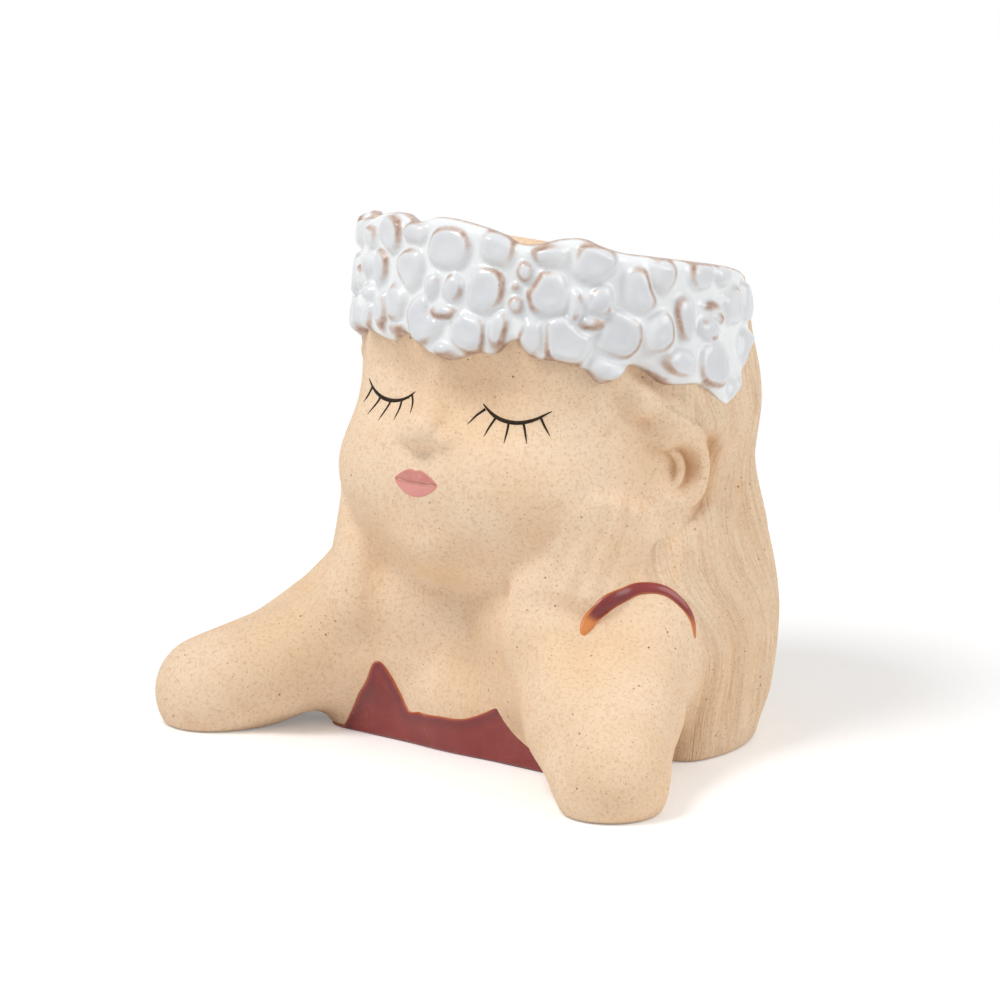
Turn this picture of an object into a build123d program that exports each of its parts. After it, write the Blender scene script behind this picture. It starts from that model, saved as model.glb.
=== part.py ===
from build123d import *
import math
import os

# Head planter: a hollow slip-cast bust of a dreaming doll-like girl, chin in
# both hands, with a garland of roses round the open top of the head.
# Millimetres. The figure looks along -Y, its left side is +X, and the origin
# lies on the table under the middle of the base.

# Driving sizes
half_span = 100.0        # half the width over both elbows, the scale of the sculpted forms
rim_radius = 56.0        # outside of the open rim
rim_lift = 50.0          # from the middle of the head up to the rim, along the leaning head
wall_thickness = 5.0     # of the casting
floor_thickness = 6.5    # under the planting space
drain_radius = 5.5       # hole in the floor
recess_radius = 10.0     # round hollow under the floor for the head of the stopper
recess_depth = 3.0
stopper_clearance = 0.3  # between stopper and casting, all round
stopper_chamfer = 0.8    # at the inner end of the stopper
band_thickness = 4.5     # of the garland's ground outside the head
band_bottom = 15.0       # lower edge of the garland above the middle of the head
petal_radius = 6.4       # of one raised petal
petal_rise = 2.6         # how far a petal stands out of the garland
bud_radius = 8.6         # of the bud in the middle of a rose
bud_rise = 3.4
rose_spacing = 14.2      # from the bud to the middle of the petals round it
glaze_coat = 1.0         # thickness of the red glaze over the bodice
bodice_height = 27.0     # top of the block that the neckline is cut from
sleeve_bead_radius = 2.6 # of the red bead round the top of each shoulder
lash_radius = 0.8        # of the painted lash lines
lip_radius = 3.4         # of the lips at the middle of the mouth
overrun = 12.0           # how far a cutting shape reaches past what it cuts
head_lean = 14.0         # degrees the head leans back

# Where the head sits: shares of half_span
head_pivot_share = (0.0, -0.02, 1.0)
base_middle_share = 0.095

# Outline of the egg-shaped head: height from its middle and radius
head_outline_shares = ((-0.60, 0.06), (-0.57, 0.20), (-0.52, 0.33), (-0.46, 0.41), (-0.38, 0.47),
                       (-0.26, 0.515), (-0.12, 0.52), (0.0, 0.516), (0.15, 0.534), (0.30, 0.545))
head_underside_share = 0.605
# Face, in the leaning frame of the head: middle of each form, then its half sizes
cheek_shares = ((0.20, -0.25, -0.24), (0.22, 0.22, 0.19))
chin_shares = ((0.0, -0.34, -0.42), (0.13, 0.12, 0.10))
socket_shares = ((0.205, -0.525, 0.015), (0.17, 0.11, 0.10))
eyelid_shares = ((0.215, -0.315, 0.005), (0.13, 0.10, 0.09))
nostril_shares = ((0.046, -0.47, -0.128), (0.036, 0.042, 0.03))
mouth_shares = ((0.0, -0.415, -0.26), (0.13, 0.085, 0.10))
nose_ridge_shares = ((0.0, -0.43, 0.08), (0.0, -0.46, -0.03), (0.0, -0.49, -0.11))
nose_radius_shares = (0.03, 0.036, 0.05)

# Fall of hair behind the head: height, half width, half depth, middle line
hair_shares = ((-0.05, 0.64, 0.50, 0.09), (0.0, 0.66, 0.52, 0.095), (0.18, 0.69, 0.57, 0.11),
               (0.35, 0.70, 0.59, 0.12), (0.60, 0.67, 0.595, 0.10), (0.83, 0.615, 0.595, 0.08),
               (1.02, 0.63, 0.64, 0.065), (1.20, 0.61, 0.625, 0.065), (1.40, 0.58, 0.58, 0.08),
               (1.65, 0.56, 0.56, 0.13))
# Front edge of the hair: height and how far forward it reaches
hair_edge_shares = ((-0.05, -0.06), (0.20, -0.08), (0.45, -0.11), (0.60, -0.11), (0.68, -0.04),
                    (0.76, 0.11), (1.00, 0.13), (1.07, 0.03), (1.14, -0.08), (1.25, -0.16),
                    (1.65, -0.16))

# Chest: middle and half sizes of the rounded block, its corner, then neck and shoulders
chest_shares = ((0.0, -0.05, 0.0), (0.52, 0.345, 0.24))
chest_corner_share = 0.11
neck_shares = ((0.0, -0.08, 0.56), (0.0, -0.12, 0.18))
neck_radius_shares = (0.20, 0.26)
shoulder_shares = ((0.30, -0.04, 0.33), (0.50, -0.08, 0.32))
shoulder_radius_share = 0.15

# How softly the forms run into each other
soft_shares = {"cheek": 0.09, "chin": 0.08, "socket": 0.09, "eyelid": 0.04, "nose": 0.03,
               "face": 0.05, "mouth": 0.06, "hair": 0.025, "hair edge": 0.07, "chest": 0.12,
               "shoulder": 0.10, "neck": 0.08, "underside": 0.04}

# Arm on the figure's left: rods with a middle and a radius at each end
arm_rod_shares = (((0.52, -0.14, 0.31), 0.18, (0.78, -0.60, 0.08), 0.15),
                  ((0.78, -0.60, 0.08), 0.15, (0.34, -0.43, 0.41), 0.11),
                  ((0.76, -0.57, 0.085), 0.148, (0.46, -0.27, 0.24), 0.15),
                  ((0.345, -0.43, 0.40), 0.112, (0.35, -0.40, 0.56), 0.09),
                  ((0.345, -0.405, 0.52), 0.088, (0.42, -0.33, 0.65), 0.075))
finger_shares = (((0.38, -0.405, 0.65), (0.445, -0.33, 0.83)),
                 ((0.42, -0.37, 0.64), (0.48, -0.275, 0.85)),
                 ((0.455, -0.32, 0.62), (0.505, -0.215, 0.84)),
                 ((0.48, -0.265, 0.59), (0.525, -0.16, 0.80)))
finger_root_share = 0.043
finger_tip_share = 0.035

# Ear on the figure's left: middle, then the outer and inner fold seen from the side
ear_middle_share = (0.545, 0.05, 0.87)
ear_fold_shares = ((0.005, -0.085, 0.105), (0.018, 0.0, 0.102), (0.030, 0.063, 0.048),
                   (0.032, 0.074, -0.012), (0.026, 0.038, -0.064), (0.012, -0.036, -0.096),
                   (-0.005, -0.10, -0.105))
ear_fold_radius_share = 0.032
ear_inner_shares = ((-0.02, -0.07, 0.065), (0.0, -0.01, 0.052), (0.0, 0.018, 0.0), (0.0, 0.0, -0.045),
                    (-0.01, -0.05, -0.07))
ear_inner_radius_share = 0.019

# Red glaze: neckline of the bodice and the bead over the shoulder
neckline_shares = ((-0.47, -0.10), (-0.45, 0.03), (-0.335, 0.20), (-0.29, 0.205), (-0.22, 0.11),
                   (-0.06, 0.085), (0.10, 0.09), (0.22, 0.15), (0.29, 0.175), (0.42, 0.03), (0.44, -0.10))
sleeve_shares = ((0.44, -0.30, 0.39), (0.47, -0.20, 0.46), (0.53, -0.12, 0.515), (0.61, -0.08, 0.50),
                 (0.66, -0.07, 0.44), (0.685, -0.07, 0.36))
# Closed eye on the figure's left: the lash line from the inner to the outer corner
lash_line_shares = ((0.12, -0.002), (0.16, -0.026), (0.22, -0.038), (0.28, -0.027), (0.33, 0.012))
# Its five lashes: root, then tip
lash_shares = (((0.132, -0.014), (0.101, -0.067)), ((0.173, -0.034), (0.164, -0.094)),
               ((0.217, -0.039), (0.231, -0.104)), ((0.262, -0.033), (0.292, -0.093)),
               ((0.308, -0.01), (0.339, -0.061)))
tip_share = 0.55         # radius at the ends of lashes, beads and lips
# Lips, seen from the front: corner, middle of each lip, then how slim and how deep they are
lip_corner_share = (0.08, -0.262)
lip_upper_share = (0.03, -0.235)
lip_lower_share = (0.0, -0.29)
lip_corner_size_share = 0.3
lip_sink_share = 0.35

# Garland: where the roses sit round the head, and the loose petals between them
rose_degrees = (-80.0, -35.0, 7.5, 51.5, 93.0)
rose_lift_share = 0.32
petals_per_rose = 7
petal_stagger_degrees = 26.0
loose_petal_places = ((-114.0, 0.42), (-112.0, 0.25), (-57.5, 0.455), (-57.5, 0.20),
                      (-13.5, 0.455), (-13.5, 0.205), (29.5, 0.45), (29.5, 0.20),
                      (72.0, 0.455), (72.0, 0.20), (114.0, 0.42), (113.0, 0.27))
lobe_degrees = (-102.0, -80.0, -42.0, -17.0, 8.0, 48.0, 62.0, 92.0, 112.0)
lobe_lift_share = 0.175
garland_half_degrees = 121.0
garland_edge_share = 0.55  # thickness left at the edges of the garland's ground
garland_edge_width = 2.5

# Fineness of the sculpted surfaces
section_count = 34
hollow_count = 22
bodice_count = 6
points_per_section = 52
front_crowding_share = 0.38
seek_steps = 60
seek_gain_share = 0.85
seek_reach_share = 1.15
settled = 0.002          # a surface is found when the gap to it is smaller
least_share = 0.0005     # keeps a division away from zero
window_steps = 2         # neighbours on each side that the planting space is evened out over


def mm(shares):
    return tuple(share * half_span for share in shares)


def blend(a, b, softness):
    """The nearer of two forms, run softly into one another."""
    part = min(max(0.5 + 0.5 * (b - a) / softness, 0.0), 1.0)
    return b + (a - b) * part - softness * part * (1.0 - part)


def carve(a, b, softness):
    return -blend(-a, b, softness)


def soft(name):
    return soft_shares[name] * half_span


def read_table(rows, height, column):
    """A smooth value between the rows of a table whose first column is the height."""
    xs = [row[0] for row in rows]
    ys = [row[column] for row in rows]
    last = len(rows) - 1
    if height <= xs[0]:
        return ys[0]
    if height >= xs[last]:
        return ys[last]
    k = max(i for i in range(last) if xs[i] <= height)
    step = xs[k + 1] - xs[k]
    t = (height - xs[k]) / step

    def slope(i):
        lower, upper = max(i - 1, 0), min(i + 1, last)
        return (ys[upper] - ys[lower]) / (xs[upper] - xs[lower])

    rise = ys[k + 1] - ys[k]
    return ys[k] + t * (step * slope(k) + t * (
        3.0 * rise - step * (2.0 * slope(k) + slope(k + 1))
        + t * (step * (slope(k) + slope(k + 1)) - 2.0 * rise)))


def egg(p, form):
    """Distance to an ellipsoid given by its middle and half sizes in shares."""
    middle, sizes = mm(form[0]), mm(form[1])
    q = [(p[i] - middle[i]) / sizes[i] for i in range(3)]
    near = math.hypot(*q)
    return near * (near - 1.0) / max(math.hypot(*[q[i] / sizes[i] for i in range(3)]), least_share)


def rod(p, start, end, start_radius, end_radius):
    """Distance to a round rod that tapers from one ball to another."""
    along = [end[i] - start[i] for i in range(3)]
    here = [p[i] - start[i] for i in range(3)]
    share = sum(here[i] * along[i] for i in range(3)) / sum(a * a for a in along)
    share = min(max(share, 0.0), 1.0)
    gap = math.hypot(*[here[i] - share * along[i] for i in range(3)])
    return gap - (start_radius + (end_radius - start_radius) * share)


def block(p, form, corner):
    middle, sizes = mm(form[0]), mm(form[1])
    q = [abs(p[i] - middle[i]) - (sizes[i] - corner) for i in range(3)]
    return math.hypot(*[max(v, 0.0) for v in q]) + min(max(q), 0.0) - corner


lean = math.radians(head_lean)
pivot = mm(head_pivot_share)


def to_head(p):
    """A point of the table frame in the leaning frame of the head."""
    y, z = p[1] - pivot[1], p[2] - pivot[2]
    return (p[0], y * math.cos(lean) - z * math.sin(lean), y * math.sin(lean) + z * math.cos(lean))


def from_head(q):
    return (q[0], pivot[1] + q[1] * math.cos(lean) + q[2] * math.sin(lean),
            pivot[2] - q[1] * math.sin(lean) + q[2] * math.cos(lean))


def skull(q):
    height = q[2] / half_span
    radius = read_table(head_outline_shares, height, 1) * half_span
    top_row = head_outline_shares[-1]
    if height > top_row[0]:
        rise = (q[2] - top_row[0] * half_span) / (rim_lift - top_row[0] * half_span)
        start = top_row[1] * half_span
        radius = start + (rim_radius - start) * min(rise, 1.0)
    side = math.hypot(q[0], q[1]) - radius
    return carve(side, head_underside_share * half_span + q[2], soft("underside"))


def fall_of_hair(p):
    height = p[2] / half_span
    a, b, middle = (read_table(hair_shares, height, column) * half_span for column in (1, 2, 3))
    x, y = p[0], p[1] - middle
    shape = max(math.hypot(x / a, y / b), least_share)
    side = math.hypot(x, y) * (1.0 - 1.0 / shape)
    edge = read_table(hair_edge_shares, height, 1) * half_span - p[1]
    return -blend(-side, -edge, soft("hair edge"))


def chest(p):
    mirrored = (abs(p[0]), p[1], p[2])
    form = block(p, chest_shares, chest_corner_share * half_span)
    neck = rod(p, mm(neck_shares[0]), mm(neck_shares[1]), *mm(neck_radius_shares))
    form = blend(form, neck, soft("chest"))
    radii = mm((shoulder_radius_share, shoulder_radius_share))
    shoulder = rod(mirrored, mm(shoulder_shares[0]), mm(shoulder_shares[1]), *radii)
    return blend(form, shoulder, soft("shoulder"))


def bust(p):
    """Head with its face, hair and chest, as one closed form."""
    q = to_head(p)
    face = skull(q)
    s = (abs(q[0]), q[1], q[2])
    face = blend(face, egg(s, cheek_shares), soft("cheek"))
    face = blend(face, egg(s, chin_shares), soft("chin"))
    face = carve(face, egg(s, socket_shares), soft("socket"))
    face = blend(face, egg(s, eyelid_shares), soft("eyelid"))
    ridge = [mm(point) for point in nose_ridge_shares]
    radii = mm(nose_radius_shares)
    bridge = rod(s, ridge[0], ridge[1], radii[0], radii[1])
    tip = rod(s, ridge[1], ridge[2], radii[1], radii[2])
    nose = blend(bridge, tip, soft("nose"))
    nose = blend(nose, egg(s, nostril_shares), soft("nose"))
    face = blend(face, nose, soft("face"))
    face = blend(face, egg(s, mouth_shares), soft("mouth"))
    form = blend(face, fall_of_hair(p), soft("hair"))
    return blend(form, chest(p), soft("neck"))


def seek(form, origin, direction, reach, offset=0.0):
    """Distance from origin to the outermost surface of a form, coming in from outside."""
    far = reach
    for _ in range(seek_steps):
        gap = form(tuple(origin[i] + far * direction[i] for i in range(3))) - offset
        far -= gap * seek_gain_share
        if abs(gap) < settled:
            break
    return far


def section_plane(share):
    """Middle and tilt of a section: level at the base, square to the head at the rim."""
    top = from_head((0.0, 0.0, rim_lift))
    middle = (0.0, base_middle_share * half_span * (1.0 - share) + top[1] * share, top[2] * share)
    return middle, lean * share


def directions(tilt):
    """Looks from the middle of a section plane, closer together over the face."""
    rows = []
    for k in range(points_per_section):
        turn = 2.0 * math.pi * k / points_per_section
        turn -= front_crowding_share * math.sin(turn)
        rows.append((math.sin(turn), -math.cos(turn) * math.cos(tilt), math.cos(turn) * math.sin(tilt)))
    return rows


def reaches_of(form, middle, tilt, offset=0.0):
    reach = seek_reach_share * half_span
    return [(direction, seek(form, middle, direction, reach, offset)) for direction in directions(tilt)]


def outline(middle, tilt, fars):
    """Closed smooth outline in one section plane, given how far it lies in each direction."""
    points = []
    for direction, far in zip(directions(tilt), fars):
        points.append(Vector(*[middle[i] + far * direction[i] for i in range(3)]))
    marks = [k / points_per_section for k in range(points_per_section + 1)]
    return Wire([Edge.make_spline(points, periodic=True, parameters=marks)])


def ring(form, middle, tilt, offset=0.0):
    """Closed smooth outline of a form in one section plane."""
    return outline(middle, tilt, [far for direction, far in reaches_of(form, middle, tilt, offset)])


def mean(values):
    return sum(values) / len(values)


def window(rows, pick):
    """Each reach replaced by one value picked from its neighbours in all directions."""
    last = len(rows) - 1
    result = []
    for k in range(last + 1):
        near = rows[max(k - 1, 0):min(k + 1, last) + 1]
        count = len(rows[k])
        steps = range(-window_steps, window_steps + 1)
        result.append([pick([row[(i + step) % count] for row in near for step in steps])
                       for i in range(count)])
    return result


def stack(rings):
    return Solid.make_loft(rings)


def tapered_rod(start, end, start_radius, end_radius):
    """Solid rod with a ball at each end."""
    a, b = Vector(*start), Vector(*end)
    length = (b - a).length
    sine = (start_radius - end_radius) / length
    cosine = math.sqrt(1.0 - sine * sine)

    def on_ball(height, radius, angle_sine, angle_cosine):
        return (radius * angle_cosine, height + radius * angle_sine)

    half = math.sqrt(0.5)
    low, high = (0.0, -start_radius), (0.0, length + end_radius)
    first, second = on_ball(0.0, start_radius, sine, cosine), on_ball(length, end_radius, sine, cosine)
    low_turn = (math.asin(sine) - math.pi / 2.0) / 2.0
    high_turn = (math.asin(sine) + math.pi / 2.0) / 2.0
    low_mid = on_ball(0.0, start_radius, math.sin(low_turn), math.cos(low_turn))
    high_mid = on_ball(length, end_radius, math.sin(high_turn), math.cos(high_turn))
    outline = Wire([ThreePointArc(low, low_mid, first).edge(), Line(first, second).edge(),
                    ThreePointArc(second, high_mid, high).edge(), Line(high, low).edge()])
    upright = Face(outline).rotate(Axis.X, 90.0)
    solid = revolve(upright, Axis.Z, 360.0)
    return Plane(origin=a, z_dir=b - a).location * solid


def joined(solids):
    total = solids[0]
    for solid in solids[1:]:
        total = total + solid
    return total


def largest(shape):
    return shape.solids().sort_by(SortBy.VOLUME)[-1]


def solids_of(shape):
    return Compound(children=list(shape.solids())) if len(shape.solids()) > 1 else shape.solids()[0]


def save(name, shape):
    export_step(solids_of(shape), f"parts/{name}.step")
    print(name, len(shape.solids()), round(shape.volume, 1), shape.is_valid)


def seat(form, origin, direction):
    """Where a line coming in from outside meets a form."""
    size = math.hypot(*direction)
    unit = tuple(v / size for v in direction)
    far = seek(form, origin, unit, seek_reach_share * half_span)
    return tuple(origin[i] + far * unit[i] for i in range(3))


def on_face(side_share, height_share):
    """A point of the face, seen straight from the front of the leaning head."""
    q = (side_share * half_span, 0.0, height_share * half_span)
    ahead = from_head((q[0], -half_span, q[2]))
    origin = from_head(q)
    return seat(bust, origin, tuple(ahead[i] - origin[i] for i in range(3)))


def reach_of_bust(degrees, height):
    """From the head's axis out to the bust, square to the axis."""
    turn = math.radians(degrees)
    inner = from_head((0.0, 0.0, height))
    outer = from_head((math.sin(turn), -math.cos(turn), height))
    return seek(bust, inner, tuple(outer[i] - inner[i] for i in range(3)), seek_reach_share * half_span)


def ground_circle(height, thickness):
    """How far back the middle of the garland's ground lies at one height, and its radius."""
    ahead = reach_of_bust(0.0, height) + thickness
    aside = reach_of_bust(90.0, height) + thickness
    back = (aside * aside - ahead * ahead) / (2.0 * ahead)
    return back, ahead + back


def ground_ring(height, thickness, top_height, bottom_height):
    """The ground is straight from top to bottom, so a height between them is shared out."""
    part = (height - bottom_height) / (top_height - bottom_height)
    low, high = ground_circle(bottom_height, band_thickness), ground_circle(top_height, band_thickness)
    back = low[0] + (high[0] - low[0]) * part
    radius = low[1] + (high[1] - low[1]) * part - (band_thickness - thickness)
    return back, radius


def on_ground(degrees, height, sink):
    """Middle of a ball that rises out of the garland's ground, sunk towards the head's axis."""
    turn = math.radians(degrees)
    back, radius = ground_ring(height, band_thickness, rim_lift, band_bottom)
    far = math.sqrt(radius * radius - (back * math.sin(turn)) ** 2) - back * math.cos(turn) - sink
    return from_head((far * math.sin(turn), -far * math.cos(turn), height))


def pillow(degrees, height, radius, rise):
    """Ball whose cap stands out of the garland with the given radius and rise."""
    ball = (radius * radius + rise * rise) / (2.0 * rise)
    return Pos(*on_ground(degrees, height, ball - rise)) * Sphere(ball)


def rose(number):
    middle_degrees = rose_degrees[number]
    lift = rose_lift_share * half_span
    balls = [pillow(middle_degrees, lift, bud_radius, bud_rise)]
    for k in range(petals_per_rose):
        turn = math.radians(petal_stagger_degrees * number + 360.0 * k / petals_per_rose)
        aside = math.degrees(rose_spacing * math.sin(turn) / (rim_radius + band_thickness))
        balls.append(pillow(middle_degrees + aside, lift + rose_spacing * math.cos(turn),
                            petal_radius, petal_rise))
    return joined(balls)


def bead(points, start_radius, radius, end_radius):
    """Round bead along a row of points, a rod from each to the next."""
    last = len(points) - 1
    sizes = [start_radius] + [radius] * (last - 1) + [end_radius]
    return joined([tapered_rod(points[k], points[k + 1], sizes[k], sizes[k + 1]) for k in range(last)])


def mirrored(shape):
    return shape.mirror(Plane.YZ)


os.makedirs("parts", exist_ok=True)
parts = {}

# Bust casting: outside, planting space, drain hole with a recess for the stopper
outside = stack([ring(bust, *section_plane(k / section_count)) for k in range(section_count + 1)])

# The planting space follows the outside with its hollows evened out, so the wall is nowhere too thin
floor_share = floor_thickness / section_plane(1.0)[0][2]
hollow_planes = [section_plane(floor_share + (1.0 - floor_share) * k / hollow_count)
                 for k in range(hollow_count + 1)]
hollow_planes[0] = (hollow_planes[0][0], 0.0)
reaches = [[far for direction, far in reaches_of(bust, *plane)] for plane in hollow_planes]
reaches = window(window(reaches, min), mean)
hollow_rings = []
for (middle, tilt), row in zip(hollow_planes, reaches):
    hollow_rings.append(outline(middle, tilt, [far - wall_thickness for far in row]))
over_rim = from_head((0.0, 0.0, rim_lift + overrun))
hollow_rings.append(outline(over_rim, lean, [far - wall_thickness for far in reaches[-1]]))
hollow = stack(hollow_rings)

drain_place = Pos(0.0, base_middle_share * half_span, 0.0)
upward = (Align.CENTER, Align.CENTER, Align.MIN)
drain = drain_place * Cylinder(drain_radius, floor_thickness + overrun, align=upward)
recess = drain_place * Cylinder(recess_radius, recess_depth, align=upward)
parts["bust_casting"] = outside.cut(hollow, drain, recess)

head_radius = recess_radius - stopper_clearance
shank_radius = drain_radius - stopper_clearance
head_height = recess_depth - 2.0 * stopper_clearance
stopper = Pos(0.0, 0.0, stopper_clearance) * Cylinder(head_radius, head_height, align=upward)
stopper += Pos(0.0, 0.0, stopper_clearance) * Cylinder(shank_radius, floor_thickness, align=upward)
stopper = chamfer(stopper.edges().sort_by(Axis.Z)[-1], stopper_chamfer)
parts["drain_stopper"] = drain_place * stopper

# Arms: upper arm, forearm, palm and four fingers, resting flat on the table
below = Pos(half_span, -half_span, 0.0) * Box(
    2.0 * half_span, 2.0 * half_span, half_span, align=(Align.CENTER, Align.CENTER, Align.MAX))
rods = [tapered_rod(mm(a), mm(b), ra * half_span, rb * half_span) for a, ra, b, rb in arm_rod_shares]
for root, tip in finger_shares:
    rods.append(tapered_rod(mm(root), mm(tip), finger_root_share * half_span, finger_tip_share * half_span))
arm = joined(rods).cut(outside, below)
parts["arm_left"] = arm
parts["arm_right"] = mirrored(arm)

# Ears: outer fold and the smaller fold inside it
ear_middle = mm(ear_middle_share)


def ear_points(shares):
    return [tuple(ear_middle[i] + mm(point)[i] for i in range(3)) for point in shares]


fold = ear_fold_radius_share * half_span
inner_fold = ear_inner_radius_share * half_span
ear = bead(ear_points(ear_fold_shares), fold, fold, fold)
ear = ear + bead(ear_points(ear_inner_shares), inner_fold, inner_fold, inner_fold)
ear = ear.cut(outside)
parts["ear_left"] = ear
parts["ear_right"] = mirrored(ear)

# Garland: a raised ground with a scalloped lower edge, five roses and loose petals between them
head_axis = (0.0, math.sin(lean), math.cos(lean))
ground_rings = []
for height, share in ((band_bottom, garland_edge_share), (band_bottom + garland_edge_width, 1.0),
                      (rim_lift - garland_edge_width, 1.0), (rim_lift, garland_edge_share)):
    back, radius = ground_ring(height, band_thickness * share, rim_lift, band_bottom)
    place = Plane(origin=from_head((0.0, back, height)), x_dir=(1.0, 0.0, 0.0), z_dir=head_axis)
    ground_rings.append(place.location * Wire.make_circle(radius))
ground_core = Solid.make_loft(ground_rings, True)
lobe_lift = lobe_lift_share * half_span
lobes = joined([pillow(degrees, lobe_lift, petal_radius, petal_rise) for degrees in lobe_degrees])
# Nothing of the flowers stands over the rim
mouth_plane = Plane(origin=from_head((0.0, 0.0, rim_lift)), x_dir=(1.0, 0.0, 0.0), z_dir=head_axis)
mouth = mouth_plane.location * Cylinder(rim_radius + band_thickness / 2.0, overrun, align=upward)
reach = 2.0 * half_span
half_back = math.radians(180.0 - garland_half_degrees)
back_wedge = make_face(Polyline((0.0, 0.0), (reach * math.sin(half_back), reach * math.cos(half_back)),
                                (-reach * math.sin(half_back), reach * math.cos(half_back)), close=True))
bare_back = extrude(back_wedge, -reach) + extrude(back_wedge, overrun)
bare_back = mouth_plane.location * bare_back
garland_body = ground_core + lobes
crown = outside & (mouth_plane.location * Cylinder(half_span, 2.0 * (rim_lift - band_bottom + overrun)))
downward = (Align.CENTER, Align.CENTER, Align.MAX)
under = Pos(0.0, 0.0, band_bottom - rim_lift) * Cylinder(half_span, half_span, align=downward)
under = mouth_plane.location * under
parts["garland_ground"] = largest(garland_body.cut(bare_back).cut(crown))
roses = []
for number in range(len(rose_degrees)):
    roses.append(largest(rose(number).cut(garland_body, mouth, under)))
    parts[f"rose_{number + 1}"] = roses[-1]
loose = joined([pillow(degrees, height * half_span, petal_radius, petal_rise)
                for degrees, height in loose_petal_places])
parts["loose_petals"] = loose.cut(garland_body, mouth, under).cut(*roses)

# Red glaze: the bodice on the chest and the beads over the shoulders
bodice_levels = [bodice_height * k / bodice_count for k in range(bodice_count + 1)]
coat = stack([ring(bust, (0.0, base_middle_share * half_span, level), 0.0, glaze_coat)
              for level in bodice_levels])
neckline = Polyline(*[(x * half_span, z * half_span) for x, z in neckline_shares], close=True)
front = Plane(origin=(0.0, 0.0, 0.0), x_dir=(1.0, 0.0, 0.0), z_dir=(0.0, -1.0, 0.0))
bib = front.location * extrude(make_face(neckline), half_span)
parts["bodice_glaze"] = (coat & bib).cut(outside, arm, mirrored(arm))
sleeve = bead([mm(point) for point in sleeve_shares], sleeve_bead_radius * tip_share, sleeve_bead_radius,
              sleeve_bead_radius * tip_share).cut(outside, arm)
parts["sleeve_glaze_left"] = sleeve
parts["sleeve_glaze_right"] = mirrored(sleeve)

# Painted face: lips and closed eyes
corner, upper, lower = (on_face(*place) for place in (lip_corner_share, lip_upper_share, lip_lower_share))
upper_far = (-upper[0], upper[1], upper[2])
corner_far = (-corner[0], corner[1], corner[2])
sink = lip_sink_share * lip_radius


def sunk(point):
    return (point[0], point[1] + sink, point[2])


upper_radius = lip_radius * tip_share
lip_rods = []
for middle, size in ((upper, upper_radius), (lower, lip_radius)):
    for end in (corner, corner_far):
        lip_rods.append(tapered_rod(sunk(middle), end, size, lip_radius * lip_corner_size_share))
lip_rods.append(tapered_rod(sunk(upper), sunk(upper_far), upper_radius, upper_radius))
parts["lips"] = joined(lip_rods).cut(outside)
line = [on_face(*place) for place in lash_line_shares]
lashes = [bead(line, lash_radius * tip_share, lash_radius, lash_radius * tip_share)]
for root, tip in lash_shares:
    lashes.append(tapered_rod(on_face(*root), on_face(*tip), lash_radius, lash_radius * tip_share))
parts["lashes_left"] = joined(lashes)
parts["lashes_right"] = mirrored(parts["lashes_left"])

# The origin goes under the middle of the whole planter
box = Compound(children=[solids_of(shape) for shape in parts.values()]).bounding_box()
to_middle = Pos(-(box.min.X + box.max.X) / 2.0, -(box.min.Y + box.max.Y) / 2.0, -box.min.Z)
for name, shape in parts.items():
    save(name, to_middle * solids_of(shape))
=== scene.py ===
import math

import bpy
import numpy as np
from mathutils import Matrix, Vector


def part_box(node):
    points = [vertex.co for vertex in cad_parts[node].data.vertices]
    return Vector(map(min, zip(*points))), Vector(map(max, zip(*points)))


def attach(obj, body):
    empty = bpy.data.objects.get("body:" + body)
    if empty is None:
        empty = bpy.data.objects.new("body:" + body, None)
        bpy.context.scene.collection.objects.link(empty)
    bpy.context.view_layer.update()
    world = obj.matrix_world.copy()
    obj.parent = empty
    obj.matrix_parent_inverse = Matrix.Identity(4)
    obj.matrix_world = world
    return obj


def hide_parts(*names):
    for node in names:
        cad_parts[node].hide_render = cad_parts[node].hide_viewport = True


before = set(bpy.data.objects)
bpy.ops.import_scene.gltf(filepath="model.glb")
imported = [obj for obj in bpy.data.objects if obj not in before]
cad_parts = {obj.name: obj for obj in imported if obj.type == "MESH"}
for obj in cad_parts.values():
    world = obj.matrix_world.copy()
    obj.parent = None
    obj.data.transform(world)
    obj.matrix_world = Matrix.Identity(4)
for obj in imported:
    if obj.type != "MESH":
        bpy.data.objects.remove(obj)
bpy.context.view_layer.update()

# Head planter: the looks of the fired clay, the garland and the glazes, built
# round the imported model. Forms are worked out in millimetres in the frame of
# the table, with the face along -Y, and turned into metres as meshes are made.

MM = 0.001

# Sizes of the figure
HEAD_LEAN = 14.0  # degrees the head leans back
HEAD_PIVOT = np.array([0.0, -2.0, 100.0])
RIM_HEIGHT = 50.0  # along the head, from its middle to the open rim
RIM_FALL = 0.008  # the rim sinks a little towards the back
WALL = 5.0
FLOOR = 6.5
DRAIN_MIDDLE = 9.5
DRAIN_RADIUS = 5.5
RECESS_RADIUS = 10.0
RECESS_DEPTH = 3.0
FIGURE_LOW, FIGURE_HIGH = (-106, -76, -3), (106, 80, 175)  # room that the clay stands in
CLAY_GRID = 1.0
GARLAND_GRID = 0.46

# The forms' middle line is a little behind the middle of the whole box
stopper_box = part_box("drain_stopper")
HOME_Y = (stopper_box[0][1] + stopper_box[1][1]) / 2.0 / MM - DRAIN_MIDDLE


# Plain tools for forms: each gives the distance to a form at many points

def blend(a, b, softness):
    part = np.clip(0.5 + 0.5 * (b - a) / softness, 0, 1)
    return b * (1 - part) + a * part - softness * part * (1 - part)


def carve(a, b, softness):
    """Form a with form b taken out of it."""
    return -blend(-a, b, softness)


def smooth(low, high, value):
    t = np.clip((value - low) / (high - low), 0, 1)
    return t * t * (3 - 2 * t)


def length(rows):
    return np.sqrt((rows * rows).sum(-1))


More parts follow.
